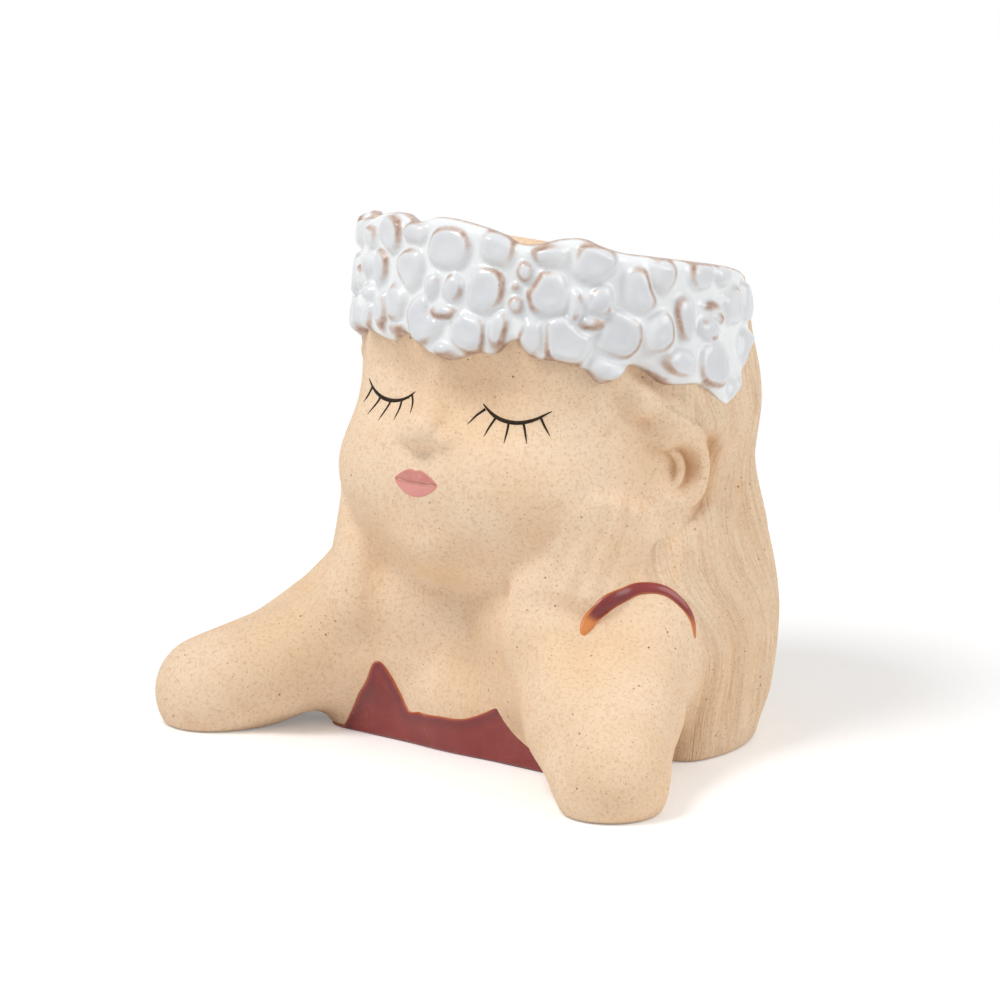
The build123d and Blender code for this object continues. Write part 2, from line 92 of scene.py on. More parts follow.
def mirrored(p):
    """Points of both sides brought to the figure's left side."""
    return np.stack([np.abs(p[:, 0]), p[:, 1], p[:, 2]], 1)


def egg(p, middle, sizes):
    q = (p - np.array(middle)) / np.array(sizes)
    near = length(q) + 1e-9
    return near * (near - 1) / (length(q / np.array(sizes)) + 1e-9)


def turned_egg(p, middle, along, outward, sizes):
    u = np.array(along) / np.linalg.norm(along)
    w = np.array(outward) - u * (u @ np.array(outward))
    w = w / np.linalg.norm(w)
    q = p - np.array(middle)
    q = np.stack([q @ u, q @ w, q @ np.cross(w, u)], 1)
    return egg(q, (0, 0, 0), sizes)


def rod(p, start, end, start_radius, end_radius):
    a, b = np.array(start, float), np.array(end, float)
    along = b - a
    share = np.clip((p - a) @ along / (along @ along), 0, 1)
    return length(p - a - share[:, None] * along) - (start_radius + (end_radius - start_radius) * share)


def rods(p, points, radii, softness):
    form = None
    for k in range(len(points) - 1):
        part = rod(p, points[k], points[k + 1], radii[k], radii[k + 1])
        form = part if form is None else blend(form, part, softness)
    return form


def block(p, middle, half, corner):
    q = np.abs(p - np.array(middle)) - (np.array(half) - corner)
    return length(np.maximum(q, 0)) + np.minimum(q.max(1), 0) - corner


def sheet(p, a, b, c, half_thickness):
    """Flat triangle with rounded edges."""
    a, b, c = (np.array(v, float) for v in (a, b, c))
    ba, cb, ac = b - a, c - b, a - c
    normal = np.cross(ba, ac)
    pa, pb, pc = p - a, p - b, p - c

    def edge(v, w):
        share = np.clip((w @ v) / (v @ v), 0, 1)
        gap = v * share[:, None] - w
        return (gap * gap).sum(1)

    within = (np.sign(pa @ np.cross(ba, normal)) + np.sign(pb @ np.cross(cb, normal))
              + np.sign(pc @ np.cross(ac, normal))) >= 2
    flat = (pa @ normal) ** 2 / (normal @ normal)
    rim = np.minimum(np.minimum(edge(ba, pa), edge(cb, pb)), edge(ac, pc))
    return np.sqrt(np.where(within, flat, rim)) - half_thickness


def curve(x, xs, ys):
    """Smooth curve through a table of values."""
    xs, ys = np.array(xs, float), np.array(ys, float)
    slope = np.gradient(ys, xs)
    i = np.clip(np.searchsorted(xs, x) - 1, 0, len(xs) - 2)
    step = xs[i + 1] - xs[i]
    t = np.clip((x - xs[i]) / step, 0, 1)
    return ((2 * t**3 - 3 * t**2 + 1) * ys[i] + (t**3 - 2 * t**2 + t) * step * slope[i]
            + (3 * t**2 - 2 * t**3) * ys[i + 1] + (t**3 - t**2) * step * slope[i + 1])


def along_path(path, count):
    """Evenly spaced points on a smooth line through a path, and each one's share of its length."""
    path = np.array(path, float)
    steps = np.concatenate([[0], np.cumsum(length(np.diff(path, axis=0)))])
    at = np.linspace(0, steps[-1], count)
    return np.stack([curve(at, steps, row) for row in path.T], 1), at / at[-1]


LEAN = math.radians(HEAD_LEAN)
COS_LEAN, SIN_LEAN = math.cos(LEAN), math.sin(LEAN)
HEAD_UP = np.array([0.0, SIN_LEAN, COS_LEAN])
HEAD_BACK = np.array([0.0, COS_LEAN, -SIN_LEAN])


def to_head(p):
    """From the frame of the table to the frame of the leaning head."""
    x, y, z = (p - HEAD_PIVOT).T
    return np.stack([x, y * COS_LEAN - z * SIN_LEAN, y * SIN_LEAN + z * COS_LEAN], 1)


FACE_TURN = math.radians(3.0)  # the face looks a little to the figure's left
FACE_COS, FACE_SIN = math.cos(FACE_TURN), math.sin(FACE_TURN)


def to_face(q, sine=FACE_SIN):
    """From the frame of the leaning head to the frame of the slightly turned face."""
    x, y = q[..., 0], q[..., 1]
    return np.stack([x * FACE_COS + y * sine, y * FACE_COS - x * sine, q[..., 2]], -1)


def from_face(q):
    return to_face(q, -FACE_SIN)


def from_head(q):
    return HEAD_PIVOT + q[..., :1] * np.array([1.0, 0, 0]) + q[..., 1:2] * HEAD_BACK + q[..., 2:3] * HEAD_UP


# The clay figure

HEAD_HEIGHTS = [-60, -57, -52, -46, -38, -26, -12, 0, 15, 30, 52, 70]
HEAD_RADII = [6, 20, 33, 41, 47.0, 51.5, 52.0, 51.6, 53.4, 54.5, 56, 56]


def face_and_head(p):
    q = to_head(p)
    form = (np.hypot(q[:, 0], q[:, 1]) - curve(q[:, 2], HEAD_HEIGHTS, HEAD_RADII)) * 0.9
    form = carve(form, 60.5 + q[:, 2], 4)
    s = mirrored(to_face(q))
    form = blend(form, egg(s, (20, -25, -24), (22, 22, 19)), 9)
    form = blend(form, egg(s, (0, -34, -42), (13, 12, 10)), 8)
    form = carve(form, egg(s, (21, -53, 1.5), (16, 9.8, 9.5)), 10)
    form = blend(form, egg(s, (21.5, -31.5, 0.5), (13, 10, 9)), 4)
    nose = rods(s, [(0, -41, 5), (0, -45, -3), (0, -52.0, -10.4)], [2.4, 3.6, 6.4], 3)
    nose = blend(nose, egg(s, (6.0, -48.8, -12.6), (4.6, 5.2, 4.0)), 1.6)
    form = blend(form, nose, 1.9)
    form = blend(form, egg(s, (0, -41.5, -26), (13, 8.5, 10)), 6)
    form = blend(form, egg(s, (4.0, -46.6, -23.6), (6.4, 4.4, 3.0)), 1.6)
    return blend(form, egg(s, (0, -46.4, -29.0), (7.2, 4.6, 3.5)), 1.8)


HAIR_HEIGHTS = [-5, 0, 18, 35, 60, 83, 102, 120, 140, 165]
HAIR_HALF_WIDTHS = [64, 66, 69, 70, 67, 61.5, 63, 61, 58, 56]
HAIR_HALF_DEPTHS = [50, 52, 57, 59, 59.5, 59.5, 64, 62.5, 58, 56]
HAIR_MIDDLES = [9, 9.5, 11, 12, 10, 8, 6.5, 6.5, 8, 13]
HAIR_EDGE_HEIGHTS = [-5, 20, 45, 60, 68, 76, 100, 107, 114, 125, 165]
HAIR_EDGES = [-6, -8, -11, -13, -8, 4, 7, 0, -8, -16, -16]
HAIR_GIRTH = 62.0  # radius at which distances round the hair are measured
LOCK_WIDTH = 11.7


def lock_flow(p):
    """Where a point lies across the locks, in millimetres round the head."""
    z = p[:, 2]
    turn = np.abs(np.arctan2(p[:, 0], p[:, 1] - curve(z, HAIR_HEIGHTS, HAIR_MIDDLES)))
    sway = 5.0 * np.sin(z / 17.0 + 1.1) + 2.5 * np.sin(z / 8.3 + turn * 2)
    return turn * HAIR_GIRTH + sway


def plain_hair(p):
    z = p[:, 2]
    a = curve(z, HAIR_HEIGHTS, HAIR_HALF_WIDTHS)
    b = curve(z, HAIR_HEIGHTS, HAIR_HALF_DEPTHS)
    middle = curve(z, HAIR_HEIGHTS, HAIR_MIDDLES)
    x, y = p[:, 0], p[:, 1] - middle
    return (np.hypot(x, y) + 1e-9) * (1 - 1 / (np.hypot(x / a, y / b) + 1e-9))


def hair_edge(p):
    """How far a point lies before the front edge of the hair."""
    return curve(p[:, 2], HAIR_EDGE_HEIGHTS, HAIR_EDGES) - p[:, 1]


def combed_hair(p):
    form = plain_hair(p)
    locks = np.sin(lock_flow(p) / LOCK_WIDTH * 2 * np.pi)
    form = form - 1.0 * locks * np.clip((130 - p[:, 2]) / 20, 0, 1) * smooth(1, 16, p[:, 2])
    form = carve(form, -hair_edge(p), 7)
    s = mirrored(p)
    below_ear = rods(s, [(50, -5, 82), (49.5, -11, 68), (50, -11, 56)], [6.5, 7.5, 9.0], 3)
    temple = rods(s, [(47.5, -20, 119), (51, -13, 112), (55.5, -3, 106), (59.5, 8, 103)],
                  [3.4, 4.6, 5.0, 4.4], 3)
    behind_ear = egg(s, (48.5, 14.0, 87.0), (9.0, 11.0, 17.0))
    return blend(blend(blend(form, below_ear, 5), temple, 4), behind_ear, 5)


def chest_and_neck(p):
    form = block(p, (0, -5, 0), (52, 35, 26), 11)
    form = blend(form, rod(p, (0, -16, 50), (0, -15, 16), 19, 25), 10)
    s = mirrored(p)
    form = blend(form, rod(s, (21, -27.5, 50), (24, -27, 27), 9.5, 14), 9)
    return blend(form, rod(s, (30, -4, 33), (50, -8, 32), 15, 15), 10)


ELBOW = (78.6, -59.6, 9.6)
SHOULDER = (52, -14.4, 38.2)
WRIST = (36, -40.5, 41)


def arm(s):
    upper = rods(s, [SHOULDER, (62, -31, 23.5), ELBOW], [17.2, 15.4, 14.2], 5)
    fore = rods(s, [ELBOW, (58, -52.5, 22), WRIST, (34.5, -38.5, 55)], [14.2, 12.6, 8.8, 8.0], 4)
    web = sheet(s, ELBOW, (52, -20, 22), (38, -36, 26), 14)
    yoke = sheet(s, (35, -41, 43), (50, -16, 37), (17, -22, 41), 9.5)
    heel = egg(s, (41, -24.5, 54.5), (10.5, 12, 10))
    neck_side = egg(s, (18.5, -33, 44), (10, 8, 15))
    form = blend(blend(blend(blend(upper, fore, 8), web, 8), yoke, 9), heel, 8)
    return blend(form, neck_side, 8)


FINGERS = [((37.2, -41.2, 58), (43.0, -33.6, 78.5)), ((42.2, -37.6, 57), (46.4, -28.2, 80.5)),
           ((46.2, -32.5, 55), (49.2, -22.4, 80)), ((49, -26.8, 53), (51.2, -17, 77))]


def hand(s):
    form = turned_egg(s, (38.5, -35, 57), (0.40, 0.55, 0.73), (0.85, -0.5, 0.0), (17, 6.5, 12))
    for root, tip in FINGERS:
        form = blend(form, rod(s, root, tip, 4.5, 3.6), 1.8)
    return form


EAR_MIDDLE = np.array([53.0, 2.5, 89.0])
EAR_TURNS = np.radians(np.linspace(118, -118, 13))
EAR_COS, EAR_SIN = np.cos(EAR_TURNS), np.sin(EAR_TURNS)
EAR_FOLD = np.stack([3.0 + 2.8 * EAR_COS, -4.5 + 6.9 * EAR_COS, 10.0 * EAR_SIN], 1)
EAR_INNER_FOLD = np.stack([2.0 + 1.2 * EAR_COS, -6.6 + 4.2 * EAR_COS, 5.6 * EAR_SIN], 1)


def ear(s):
    form = rods(s, list(EAR_MIDDLE + EAR_FOLD), [2.6, 3.0] + [3.3] * 9 + [3.0, 2.8], 2)
    bowl = egg(s, EAR_MIDDLE + np.array((-4.0, 1.0, 0.0)), (7.6, 11.5, 13.0))
    form = blend(form, bowl, 1.4)
    form = blend(form, egg(s, (52.0, -5.0, 101.0), (4.5, 5.5, 4.5)), 3)
    return blend(form, egg(s, (54.0, -1.0, 73.5), (5.0, 7.0, 6.5)), 3)


def ear_hollow(form, s):
    """The shell of the ear, pressed in beside its fold, with the small inner fold raised in it."""
    form = carve(form, egg(s, EAR_MIDDLE + np.array((6.6, -6.4, 0.3)), (5.6, 7.0, 7.4)), 1.6)
    radii = [1.1, 1.2] + [1.3] * 5 + [1.2, 1.1]
    inner = rods(s, list(EAR_MIDDLE + EAR_INNER_FOLD)[2:11], radii, 1.2)
    return blend(form, inner, 0.8)


def trunk(p):
    """The figure without arms, hands and ears."""
    form = blend(face_and_head(p), combed_hair(p), 2.5)
    return blend(form, chest_and_neck(p), 5)


def outside(p):
    s = mirrored(p)
    form = blend(trunk(p), arm(s), 11)
    form = blend(form, hand(s), 4.0)
    return ear_hollow(blend(form, ear(s), 4.0), s)


def planting_space(p):
    form = carve(plain_hair(p), -hair_edge(p), 7)
    form = blend(face_and_head(p), form, 6)
    form = blend(form, chest_and_neck(p), 10)
    return carve(form + WALL, p[:, 2] - FLOOR, 6)


def drain(p):
    radius = np.hypot(p[:, 0], p[:, 1] - DRAIN_MIDDLE)
    hole = np.maximum(radius - DRAIN_RADIUS, p[:, 2] - FLOOR * 2)
    recess = np.maximum(radius - RECESS_RADIUS, p[:, 2] - RECESS_DEPTH)
    return np.minimum(hole, recess)


def casting(p):
    form = carve(outside(p), p[:, 2], 1.6)
    form = np.maximum(form, -planting_space(p))
    form = np.maximum(form, -drain(p))
    q = to_head(p)
    return carve(form, RIM_HEIGHT - RIM_FALL * (q[:, 1] + 56) - q[:, 2], 1.6)


# From forms to closed meshes

def skin(form, low, high, step, coarse=4, band=1.9):
    """Quads over the surface of a form; it is looked at finely only near the surface."""
    low = np.array(low, float)
    count = np.ceil((np.array(high) - low) / (step * coarse)).astype(int) + 1
    axes = [low[i] + np.arange(count[i]) * step * coarse + step * (coarse - 1) / 2 for i in range(3)]
    points = np.stack(np.meshgrid(*axes, indexing="ij"), -1).reshape(-1, 3)
    rough = in_parts(form, points).reshape(count)
    near = np.abs(rough) < band * step * coarse
    for axis in range(3):
        near = near | np.roll(near, 1, axis) | np.roll(near, -1, axis)

    def finer(v):
        return v.repeat(coarse, 0).repeat(coarse, 1).repeat(coarse, 2)

    values = finer(rough).astype(np.float32)
    places = np.argwhere(finer(near))
    values[tuple(places.T)] = in_parts(form, low + places * step)
    for axis in range(3):
        edge = np.moveaxis(values, axis, 0)
        edge[0] = edge[-1] = 9.0  # the border counts as outside, so the skin closes
    solid = values < 0
    cells = [n - 1 for n in values.shape]
    total = np.zeros(cells + [3], np.float32)
    crossings = np.zeros(cells, np.int8)
    ends = [slice(0, -1), slice(1, None)]
    for axis in range(3):
        others = [i for i in range(3) if i != axis]
        for a in (0, 1):
            for b in (0, 1):
                here, there = [None] * 3, [None] * 3
                here[axis], there[axis] = ends
                here[others[0]] = there[others[0]] = ends[a]
                here[others[1]] = there[others[1]] = ends[b]
                here, there = tuple(here), tuple(there)
                where = np.where(solid[here] != solid[there])
                share = values[here][where] / (values[here][where] - values[there][where])
                offset = np.zeros([len(share), 3], np.float32)
                offset[:, axis], offset[:, others[0]], offset[:, others[1]] = share, a, b
                total[where] += offset
                crossings[where] += 1
    used = np.argwhere(crossings > 0)
    where = tuple(used.T)
    verts = low + (used + total[where] / crossings[where][:, None]) * step
    index = -np.ones(cells, np.int64)
    index[where] = np.arange(len(used))
    quads = []
    for axis in range(3):
        first, second = [(1, 2), (2, 0), (0, 1)][axis]
        here, there = [slice(None)] * 3, [slice(None)] * 3
        here[axis], there[axis] = ends
        at = np.argwhere(solid[tuple(here)] != solid[tuple(there)])
        e1, e2 = np.zeros(3, int), np.zeros(3, int)
        e1[first], e2[second] = 1, 1
        quad = np.stack([index[tuple((at - d).T)] for d in (e1 + e2, e2, 0 * e1, e1)], 1)
        inward = ~solid[tuple(at.T)]
        quad[inward] = quad[inward][:, ::-1]
        quads.append(quad)
    return verts, np.concatenate(quads)


def in_parts(form, points, size=400000):
    return np.concatenate([form(points[i:i + size]) for i in range(0, len(points), size)])


def slopes(form, p, step=0.1):
    here = form(p)
    return np.stack([(form(p + step * np.eye(3)[i]) - here) / step for i in range(3)], 1), here


def settle(form, p, most, rounds=3):
    """Moves points along the slope of a form until they lie on its surface."""
    for _ in range(rounds):
        slope, here = slopes(form, p)
        move = here[:, None] * slope / np.maximum((slope * slope).sum(1), 0.2)[:, None]
        p = p - np.clip(move, -most, most)
    return p


def outward(form, p):
    slope, _ = slopes(form, p)
    return slope / (length(slope)[:, None] + 1e-9)


def beside(form, line):
    """Directions out of a form along a line on it, and across the line."""
    normals = outward(form, line)
    across = np.cross(normals, np.gradient(line, axis=0))
    return normals, across / length(across)[:, None]


def laid_out(form, points, shape):
    """Points on a form and the directions out of it, as grids."""
    return points.reshape(shape + (3,)), outward(form, points).reshape(shape + (3,))


def meet(form, starts, direction, reach, steps=90):
    """Where straight lines first meet a form; starts lie outside it, and each step stays short of it."""
    direction = np.broadcast_to(np.array(direction, float), starts.shape)
    far = np.zeros(len(starts))
    for _ in range(steps):
        far = np.minimum(far + 0.8 * np.maximum(form(starts + far[:, None] * direction), -1.0), reach)
    return starts + far[:, None] * direction


def add(name, data):
    obj = bpy.data.objects.new(name, data)
    bpy.context.scene.collection.objects.link(obj)
    return obj


def piece(name, verts, faces, finish, nodes, body="planter", marks=None):
    """One closed mesh of the figure, given in millimetres, with values on its points for its finish."""
    verts = np.array(verts, float) + np.array([0.0, HOME_Y, 0.0])
    mesh = bpy.data.meshes.new(name)
    mesh.from_pydata((verts * MM).tolist(), [], faces if isinstance(faces, list) else faces.tolist())
    mesh.validate()
    for mark, values in (marks or {}).items():
        layer = mesh.attributes.new(mark, "FLOAT", "POINT")
        layer.data.foreach_set("value", np.array(values, np.float32))
    mesh.polygons.foreach_set("use_smooth", [True] * len(mesh.polygons))
    mesh.materials.append(finish)
    mesh.update()
    obj = add(name, mesh)
    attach(obj, body)
    if nodes:
        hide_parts(*nodes)


def coat(name, points, normals, lift, depth, finish, nodes, marks):
    """Thin closed coat over a grid of points: lifted on top, buried underneath and at its border."""
    rows, columns = lift.shape
    top = points + normals * lift[..., None]
    bottom = points - normals * depth
    index = np.arange(rows * columns).reshape(rows, columns)
    corners = (index[:-1, :-1], index[:-1, 1:], index[1:, 1:], index[1:, :-1])
    upper = np.stack([corner.ravel() for corner in corners], 1)
    lower = upper[:, ::-1] + rows * columns
    border = np.concatenate([index[0, :], index[1:, -1], index[-1, -2::-1], index[-2:0:-1, 0]])
    after = np.roll(border, -1)
    side = np.stack([after, border, border + rows * columns, after + rows * columns], 1)
    faces = np.concatenate([upper, lower, side])
    verts = np.concatenate([top.reshape(-1, 3), bottom.reshape(-1, 3)])
    normal = np.cross(top[1, 1] - top[0, 1], top[1, 1] - top[1, 0])
    if (normal * normals[1, 1]).sum() < 0:
        faces = faces[:, ::-1]
    doubled = {mark: np.tile(v.ravel(), 2) for mark, v in marks.items()}
    piece(name, verts, faces, finish, nodes, marks=doubled)


# Shader sums that read like plain sums

class Value:
    """A socket of a node that takes part in plain sums."""

    def __init__(self, finish, socket):
        self.finish, self.socket = finish, socket

    def sum(self, kind, *others):
        return self.finish.node("ShaderNodeMath", {"operation": kind}, self, *others)

    def __add__(self, other):
        return self.sum("ADD", other)

    def __rsub__(self, other):
        return self.finish.node("ShaderNodeMath", {"operation": "SUBTRACT"}, other, self)

    def __mul__(self, other):
        return self.sum("MULTIPLY", other)

    def __truediv__(self, other):
        return self.sum("DIVIDE", other)

    __radd__ = __add__

    def most(self, other):
        return self.sum("MAXIMUM", other)

    def also(self, out):
        """Another output of the same node."""
        return Value(self.finish, self.socket.node.outputs[out])

    def ramp(self, low, high, first=0.0, last=1.0):
        """Runs smoothly from first to last while the value goes from low to high."""
        return self.finish.node("ShaderNodeMapRange", {"interpolation_type": "SMOOTHSTEP"},
                                self, low, high, first, last)


class Nodes:
    """The look of a material or of the world, built node by node."""

    def __init__(self, owner, output):
        owner.use_nodes = True
        self.owner, self.tree = owner, owner.node_tree
        self.tree.nodes.clear()
        self.output = self.tree.nodes.new(output)

    def show(self, shader):
        self.tree.links.new(shader.socket, self.output.inputs[0])

    def seen_rays(self):
        """One for rays of the camera, and for those mirrored or let through on the way, else nought."""
        rays = path = self.node("ShaderNodeLightPath", {})
        for kind in ("Is Glossy Ray", "Is Transmission Ray"):
            rays = rays.most(path.also(kind))
        return rays

    def put(self, socket, value):
        if isinstance(value, Value):
            self.tree.links.new(value.socket, socket)
        elif isinstance(value, tuple) and len(value) == 3 and socket.type == "RGBA":
            socket.default_value = value + (1.0,)
        else:
            socket.default_value = value

    def node(self, kind, settings, *values, out=0, **named):
        """Adds a node: settings first, then values or links for its sockets, in order or by name."""
        node = self.tree.nodes.new(kind)
        for setting, value in settings.items():
            setattr(node, setting, value)
        for k, value in enumerate(values):
            if value is not None:
                self.put(node.inputs[k], value)
        for name, value in named.items():
            self.put(node.inputs[name.replace("_", " ")], value)
        return Value(self, node.outputs[out])

    def place(self):
        return self.node("ShaderNodeTexCoord", {}, out=3)

    def mark(self, name):
        return self.node("ShaderNodeAttribute", {"attribute_name": name}, out=2)

    def noise(self, place, per_metre, detail=2.0, roughness=0.5):
        return self.node("ShaderNodeTexNoise", {}, Vector=place, Scale=per_metre, Detail=detail,
                         Roughness=roughness)

    def mix(self, share, first, second):
        gap = [None] * 5  # sockets for other kinds of values
        return self.node("ShaderNodeMix", {"data_type": "RGBA"}, share, *gap, first, second).also(2)

    def vector(self, x, y, z):
        return self.node("ShaderNodeCombineXYZ", {}, x, y, z)

    def bump(self, height, distance, strength=1.0, normal=None):
        more = {"Normal": normal} if normal else {}
        return self.node("ShaderNodeBump", {}, Strength=strength, Distance=distance, Height=height, **more)


class Finish(Nodes):
    """One material."""

    def __init__(self, name):
        super().__init__(bpy.data.materials.new(name), "ShaderNodeOutputMaterial")
        self.shader = self.node("ShaderNodeBsdfPrincipled", {})
        self.show(self.shader)

    def set(self, **sockets):
        for name, value in sockets.items():
            self.put(self.shader.socket.node.inputs[name.replace("_", " ")], value)
        return self.owner


def colour(red, green, blue):
    """A colour as seen on a screen, 0 to 255, turned into light."""
    def light(v):
        v = v / 255.0
        return v / 12.92 if v < 0.04045 else ((v + 0.055) / 1.055) ** 2.4
    return (light(red), light(green), light(blue))


# Fired clay

def specks(f, place, spacing, size, rarity, seed):
    """Round specks of mixed size, strewn through the clay; spacing and size are in metres."""
    moved = f.node("ShaderNodeVectorMath", {"operation": "ADD"}, place, (seed, 2 * seed, 3 * seed))
    cells = f.node("ShaderNodeTexVoronoi", {"feature": "F1"}, Vector=moved, Scale=1.0 / spacing)
    pick = f.node("ShaderNodeSeparateColor", {}, cells.also("Color"))
    radius = pick.ramp(rarity, 1.0, 0.0, size / spacing)
    return (1.0 - cells / (radius + 0.0001)).ramp(0.0, 0.55) * pick.also(1).ramp(0.0, 0.6, 0.35, 1.0)


def clay_finish():
    f = Finish("fired_clay")
    place = f.place()
    hair, flow, crease = f.mark("hair"), f.mark("flow"), f.mark("crease")
    clouds = f.noise(place, 28.0, 3.0, 0.55)
    patches = f.noise(place, 140.0, 4.0, 0.65)
    grain = f.noise(place, 900.0, 2.0, 0.6)
    tone = f.mix(clouds.ramp(0.35, 0.68), colour(242, 216, 186), colour(236, 205, 170))
    tone = f.mix(patches.ramp(0.5, 0.75) * 0.3, tone, colour(225, 187, 149))
    tone = f.mix(grain.ramp(0.45, 0.72) * 0.36, tone, colour(206, 163, 124))
    # Painted shade: the clay turns darker and browner in creases and hollows, where shade falls
    tone = f.mix(crease.ramp(0.15, 0.8) * (0.25 + patches * 0.7), tone, colour(206, 152, 106))
    height = f.node("ShaderNodeSeparateXYZ", {}, place, out=2)
    combed = f.vector(flow * 0.55, height * 22.0, 0.0)
    lines = f.noise(combed, 1.0, 3.0, 0.7)
    strands = f.noise(f.vector(flow * 1.7, height * 40.0, 3.0), 1.0, 2.0, 0.6)
    tone = f.mix(hair * lines.ramp(0.48, 0.72) * 0.42, tone, colour(206, 166, 126))
    tone = f.mix(hair * strands.ramp(0.52, 0.78) * 0.45, tone, colour(208, 170, 132))
    dense = clouds.ramp(0.3, 0.7, 0.6, 1.0)
    dust = specks(f, place, 0.00075, 0.00029, 0.25, 0.53)
    fine = specks(f, place, 0.0013, 0.00030, 0.30, 0.13)
    middling = specks(f, place, 0.0030, 0.00050, 0.45, 0.37)
    coarse = specks(f, place, 0.0120, 0.00078, 0.58, 0.83)
    tone = f.mix(dust * 0.5, tone, colour(194, 148, 106))
    tone = f.mix(fine * 0.8 * dense, tone, colour(146, 96, 60))
    tone = f.mix(middling * 0.9 * dense, tone, colour(112, 66, 38))
    tone = f.mix(coarse * 0.9, tone, colour(88, 50, 32))
    pits = f.bump(grain, 0.00022, 0.55)
    pits = f.bump(middling + coarse, -0.0003, 0.5, pits)
    combing = f.bump(hair * (lines * 0.6 + strands * 0.4), 0.0018, 0.8, pits)
    return f.set(Base_Color=tone, Roughness=grain.ramp(0.3, 0.7, 0.62, 0.8), Normal=combing,
                 Specular_IOR_Level=0.28)


# White glaze that runs off raised edges and pools in the middle of the petals

def white_glaze_finish():
    f = Finish("white_glaze")
    place = f.place()
    thin, pool, groove = f.mark("thin"), f.mark("pool"), f.mark("groove")
    clouds = f.noise(place, 90.0, 3.0, 0.6)
    blotches = f.noise(place, 330.0, 3.0, 0.65)
    grain = f.noise(place, 1500.0, 2.0, 0.5)
    tone = f.mix(clouds.ramp(0.35, 0.7), colour(230, 231, 232), colour(220, 222, 225))
    tone = f.mix(pool * (0.3 + clouds * 0.5), tone, colour(212, 214, 218))
    tone = f.mix(groove * 0.9, tone, colour(240, 243, 243))
    bare = (thin * (0.45 + blotches * 1.3)).ramp(0.3, 0.95)
    tone = f.mix(bare * 0.85, tone, colour(192, 162, 142))
    tone = f.mix((thin * (0.15 + blotches * 1.1)).ramp(0.5, 0.85) * 0.8, tone, colour(150, 112, 92))
    dots = specks(f, place, 0.0120, 0.00062, 0.72, 0.19)
    tone = f.mix(dots * 0.7, tone, colour(110, 88, 78))
    waves = f.bump(clouds * 0.7 + blotches * 0.3, 0.0006, 0.35)
    return f.set(Base_Color=tone, Roughness=bare.ramp(0.0, 1.0, 0.17, 0.36) + grain * 0.03, Normal=waves,
                 Coat_Weight=0.35, Coat_Roughness=0.08, Specular_IOR_Level=0.5)


def red_glaze_finish():
    f = Finish("red_glaze")
    place = f.place()
    thin, deep = f.mark("thin"), f.mark("pool")
    clouds = f.noise(place, 110.0, 4.0, 0.6)
    streaks = f.noise(place, 420.0, 3.0, 0.6)
    tone = f.mix(clouds.ramp(0.3, 0.72), colour(132, 31, 27), colour(148, 50, 43))
    tone = f.mix(deep * 0.75, tone, colour(112, 24, 28))
    tone = f.mix(streaks.ramp(0.5, 0.8) * 0.3, tone, colour(140, 60, 50))
    tone = f.mix(thin.ramp(0.1, 0.8), tone, colour(214, 132, 66))
    return f.set(Base_Color=tone, Roughness=0.2 + clouds * 0.12, Normal=f.bump(clouds, 0.0005, 0.3),
                 Coat_Weight=0.25, Coat_Roughness=0.1)


def pink_glaze_finish():
    f = Finish("pink_glaze")
    upper, parting, fade = f.mark("upper"), f.mark("parting"), f.mark("thin")
    clouds = f.noise(f.place(), 420.0, 3.0, 0.6)
    tone = f.mix(upper, colour(222, 148, 140), colour(203, 130, 121))
    tone = f.mix(clouds.ramp(0.4, 0.75) * 0.4, tone, colour(232, 168, 156))
    tone = f.mix(parting, tone, colour(150, 78, 72))
    tone = f.mix(fade * 0.7, tone, colour(222, 168, 146))
    return f.set(Base_Color=tone, Roughness=0.45 + clouds * 0.15, Normal=f.bump(clouds, 0.0002, 0.3))


def lash_finish():
    f = Finish("lash_paint")
    grain = f.noise(f.place(), 900.0, 3.0, 0.6)
    tone = f.mix(grain.ramp(0.35, 0.75), colour(34, 24, 15), colour(58, 42, 26))
    return f.set(Base_Color=tone, Roughness=0.6 + grain * 0.2, Specular_IOR_Level=0.2)


def rubber_finish():
    f = Finish("stopper_rubber")
    grain = f.noise(f.place(), 1200.0, 3.0, 0.6)
    tone = f.mix(grain.ramp(0.3, 0.7), colour(58, 57, 55), colour(80, 78, 75))
    return f.set(Base_Color=tone, Roughness=0.7 + grain * 0.2, Normal=f.bump(grain, 0.0001, 0.4))


CLAY_NODES = ["bust_casting", "arm_left", "arm_right", "ear_left", "ear_right"]
GARLAND_NODES = ["garland_ground", "rose_1", "rose_2", "rose_3", "rose_4", "rose_5", "loose_petals"]


def make_figure(clay):
    verts, quads = skin(casting, FIGURE_LOW, FIGURE_HIGH, CLAY_GRID)
    verts = settle(casting, verts, 0.6 * CLAY_GRID, 3)
    s = mirrored(verts)
    bare = blend(face_and_head(verts), chest_and_neck(verts), 8)
    skin_near = np.minimum(np.minimum(bare, arm(s)), np.minimum(hand(s), ear(s)))
    locks = np.maximum(plain_hair(verts), hair_edge(verts))
    hair = smooth(-1.2, 1.8, skin_near - locks) * smooth(-3.0, -0.5, outside(verts))
    normals = outward(outside, verts)
    # Painted shade: how closed in each point of the clay lies, read from the form a little way out along its
    # normal; the finish darkens creases by it
    crease = np.zeros(len(verts))
    for far in (1.5, 3.0, 5.0):
        crease += (1 - outside(verts + normals * far) / far) / 3
    crease = np.clip(crease, 0, 1) * smooth(-2.0, -0.5, outside(verts))
    marks = {"hair": hair, "flow": lock_flow(verts), "crease": crease}
    piece("clay_figure", verts, quads, clay, CLAY_NODES, marks=marks)


# Garland of roses round the rim: degrees round the head from the middle of the
# brow and height along it, then width and height of each raised petal. A rose
# is the middle of its bud, the folds of the bud and the petals round it.

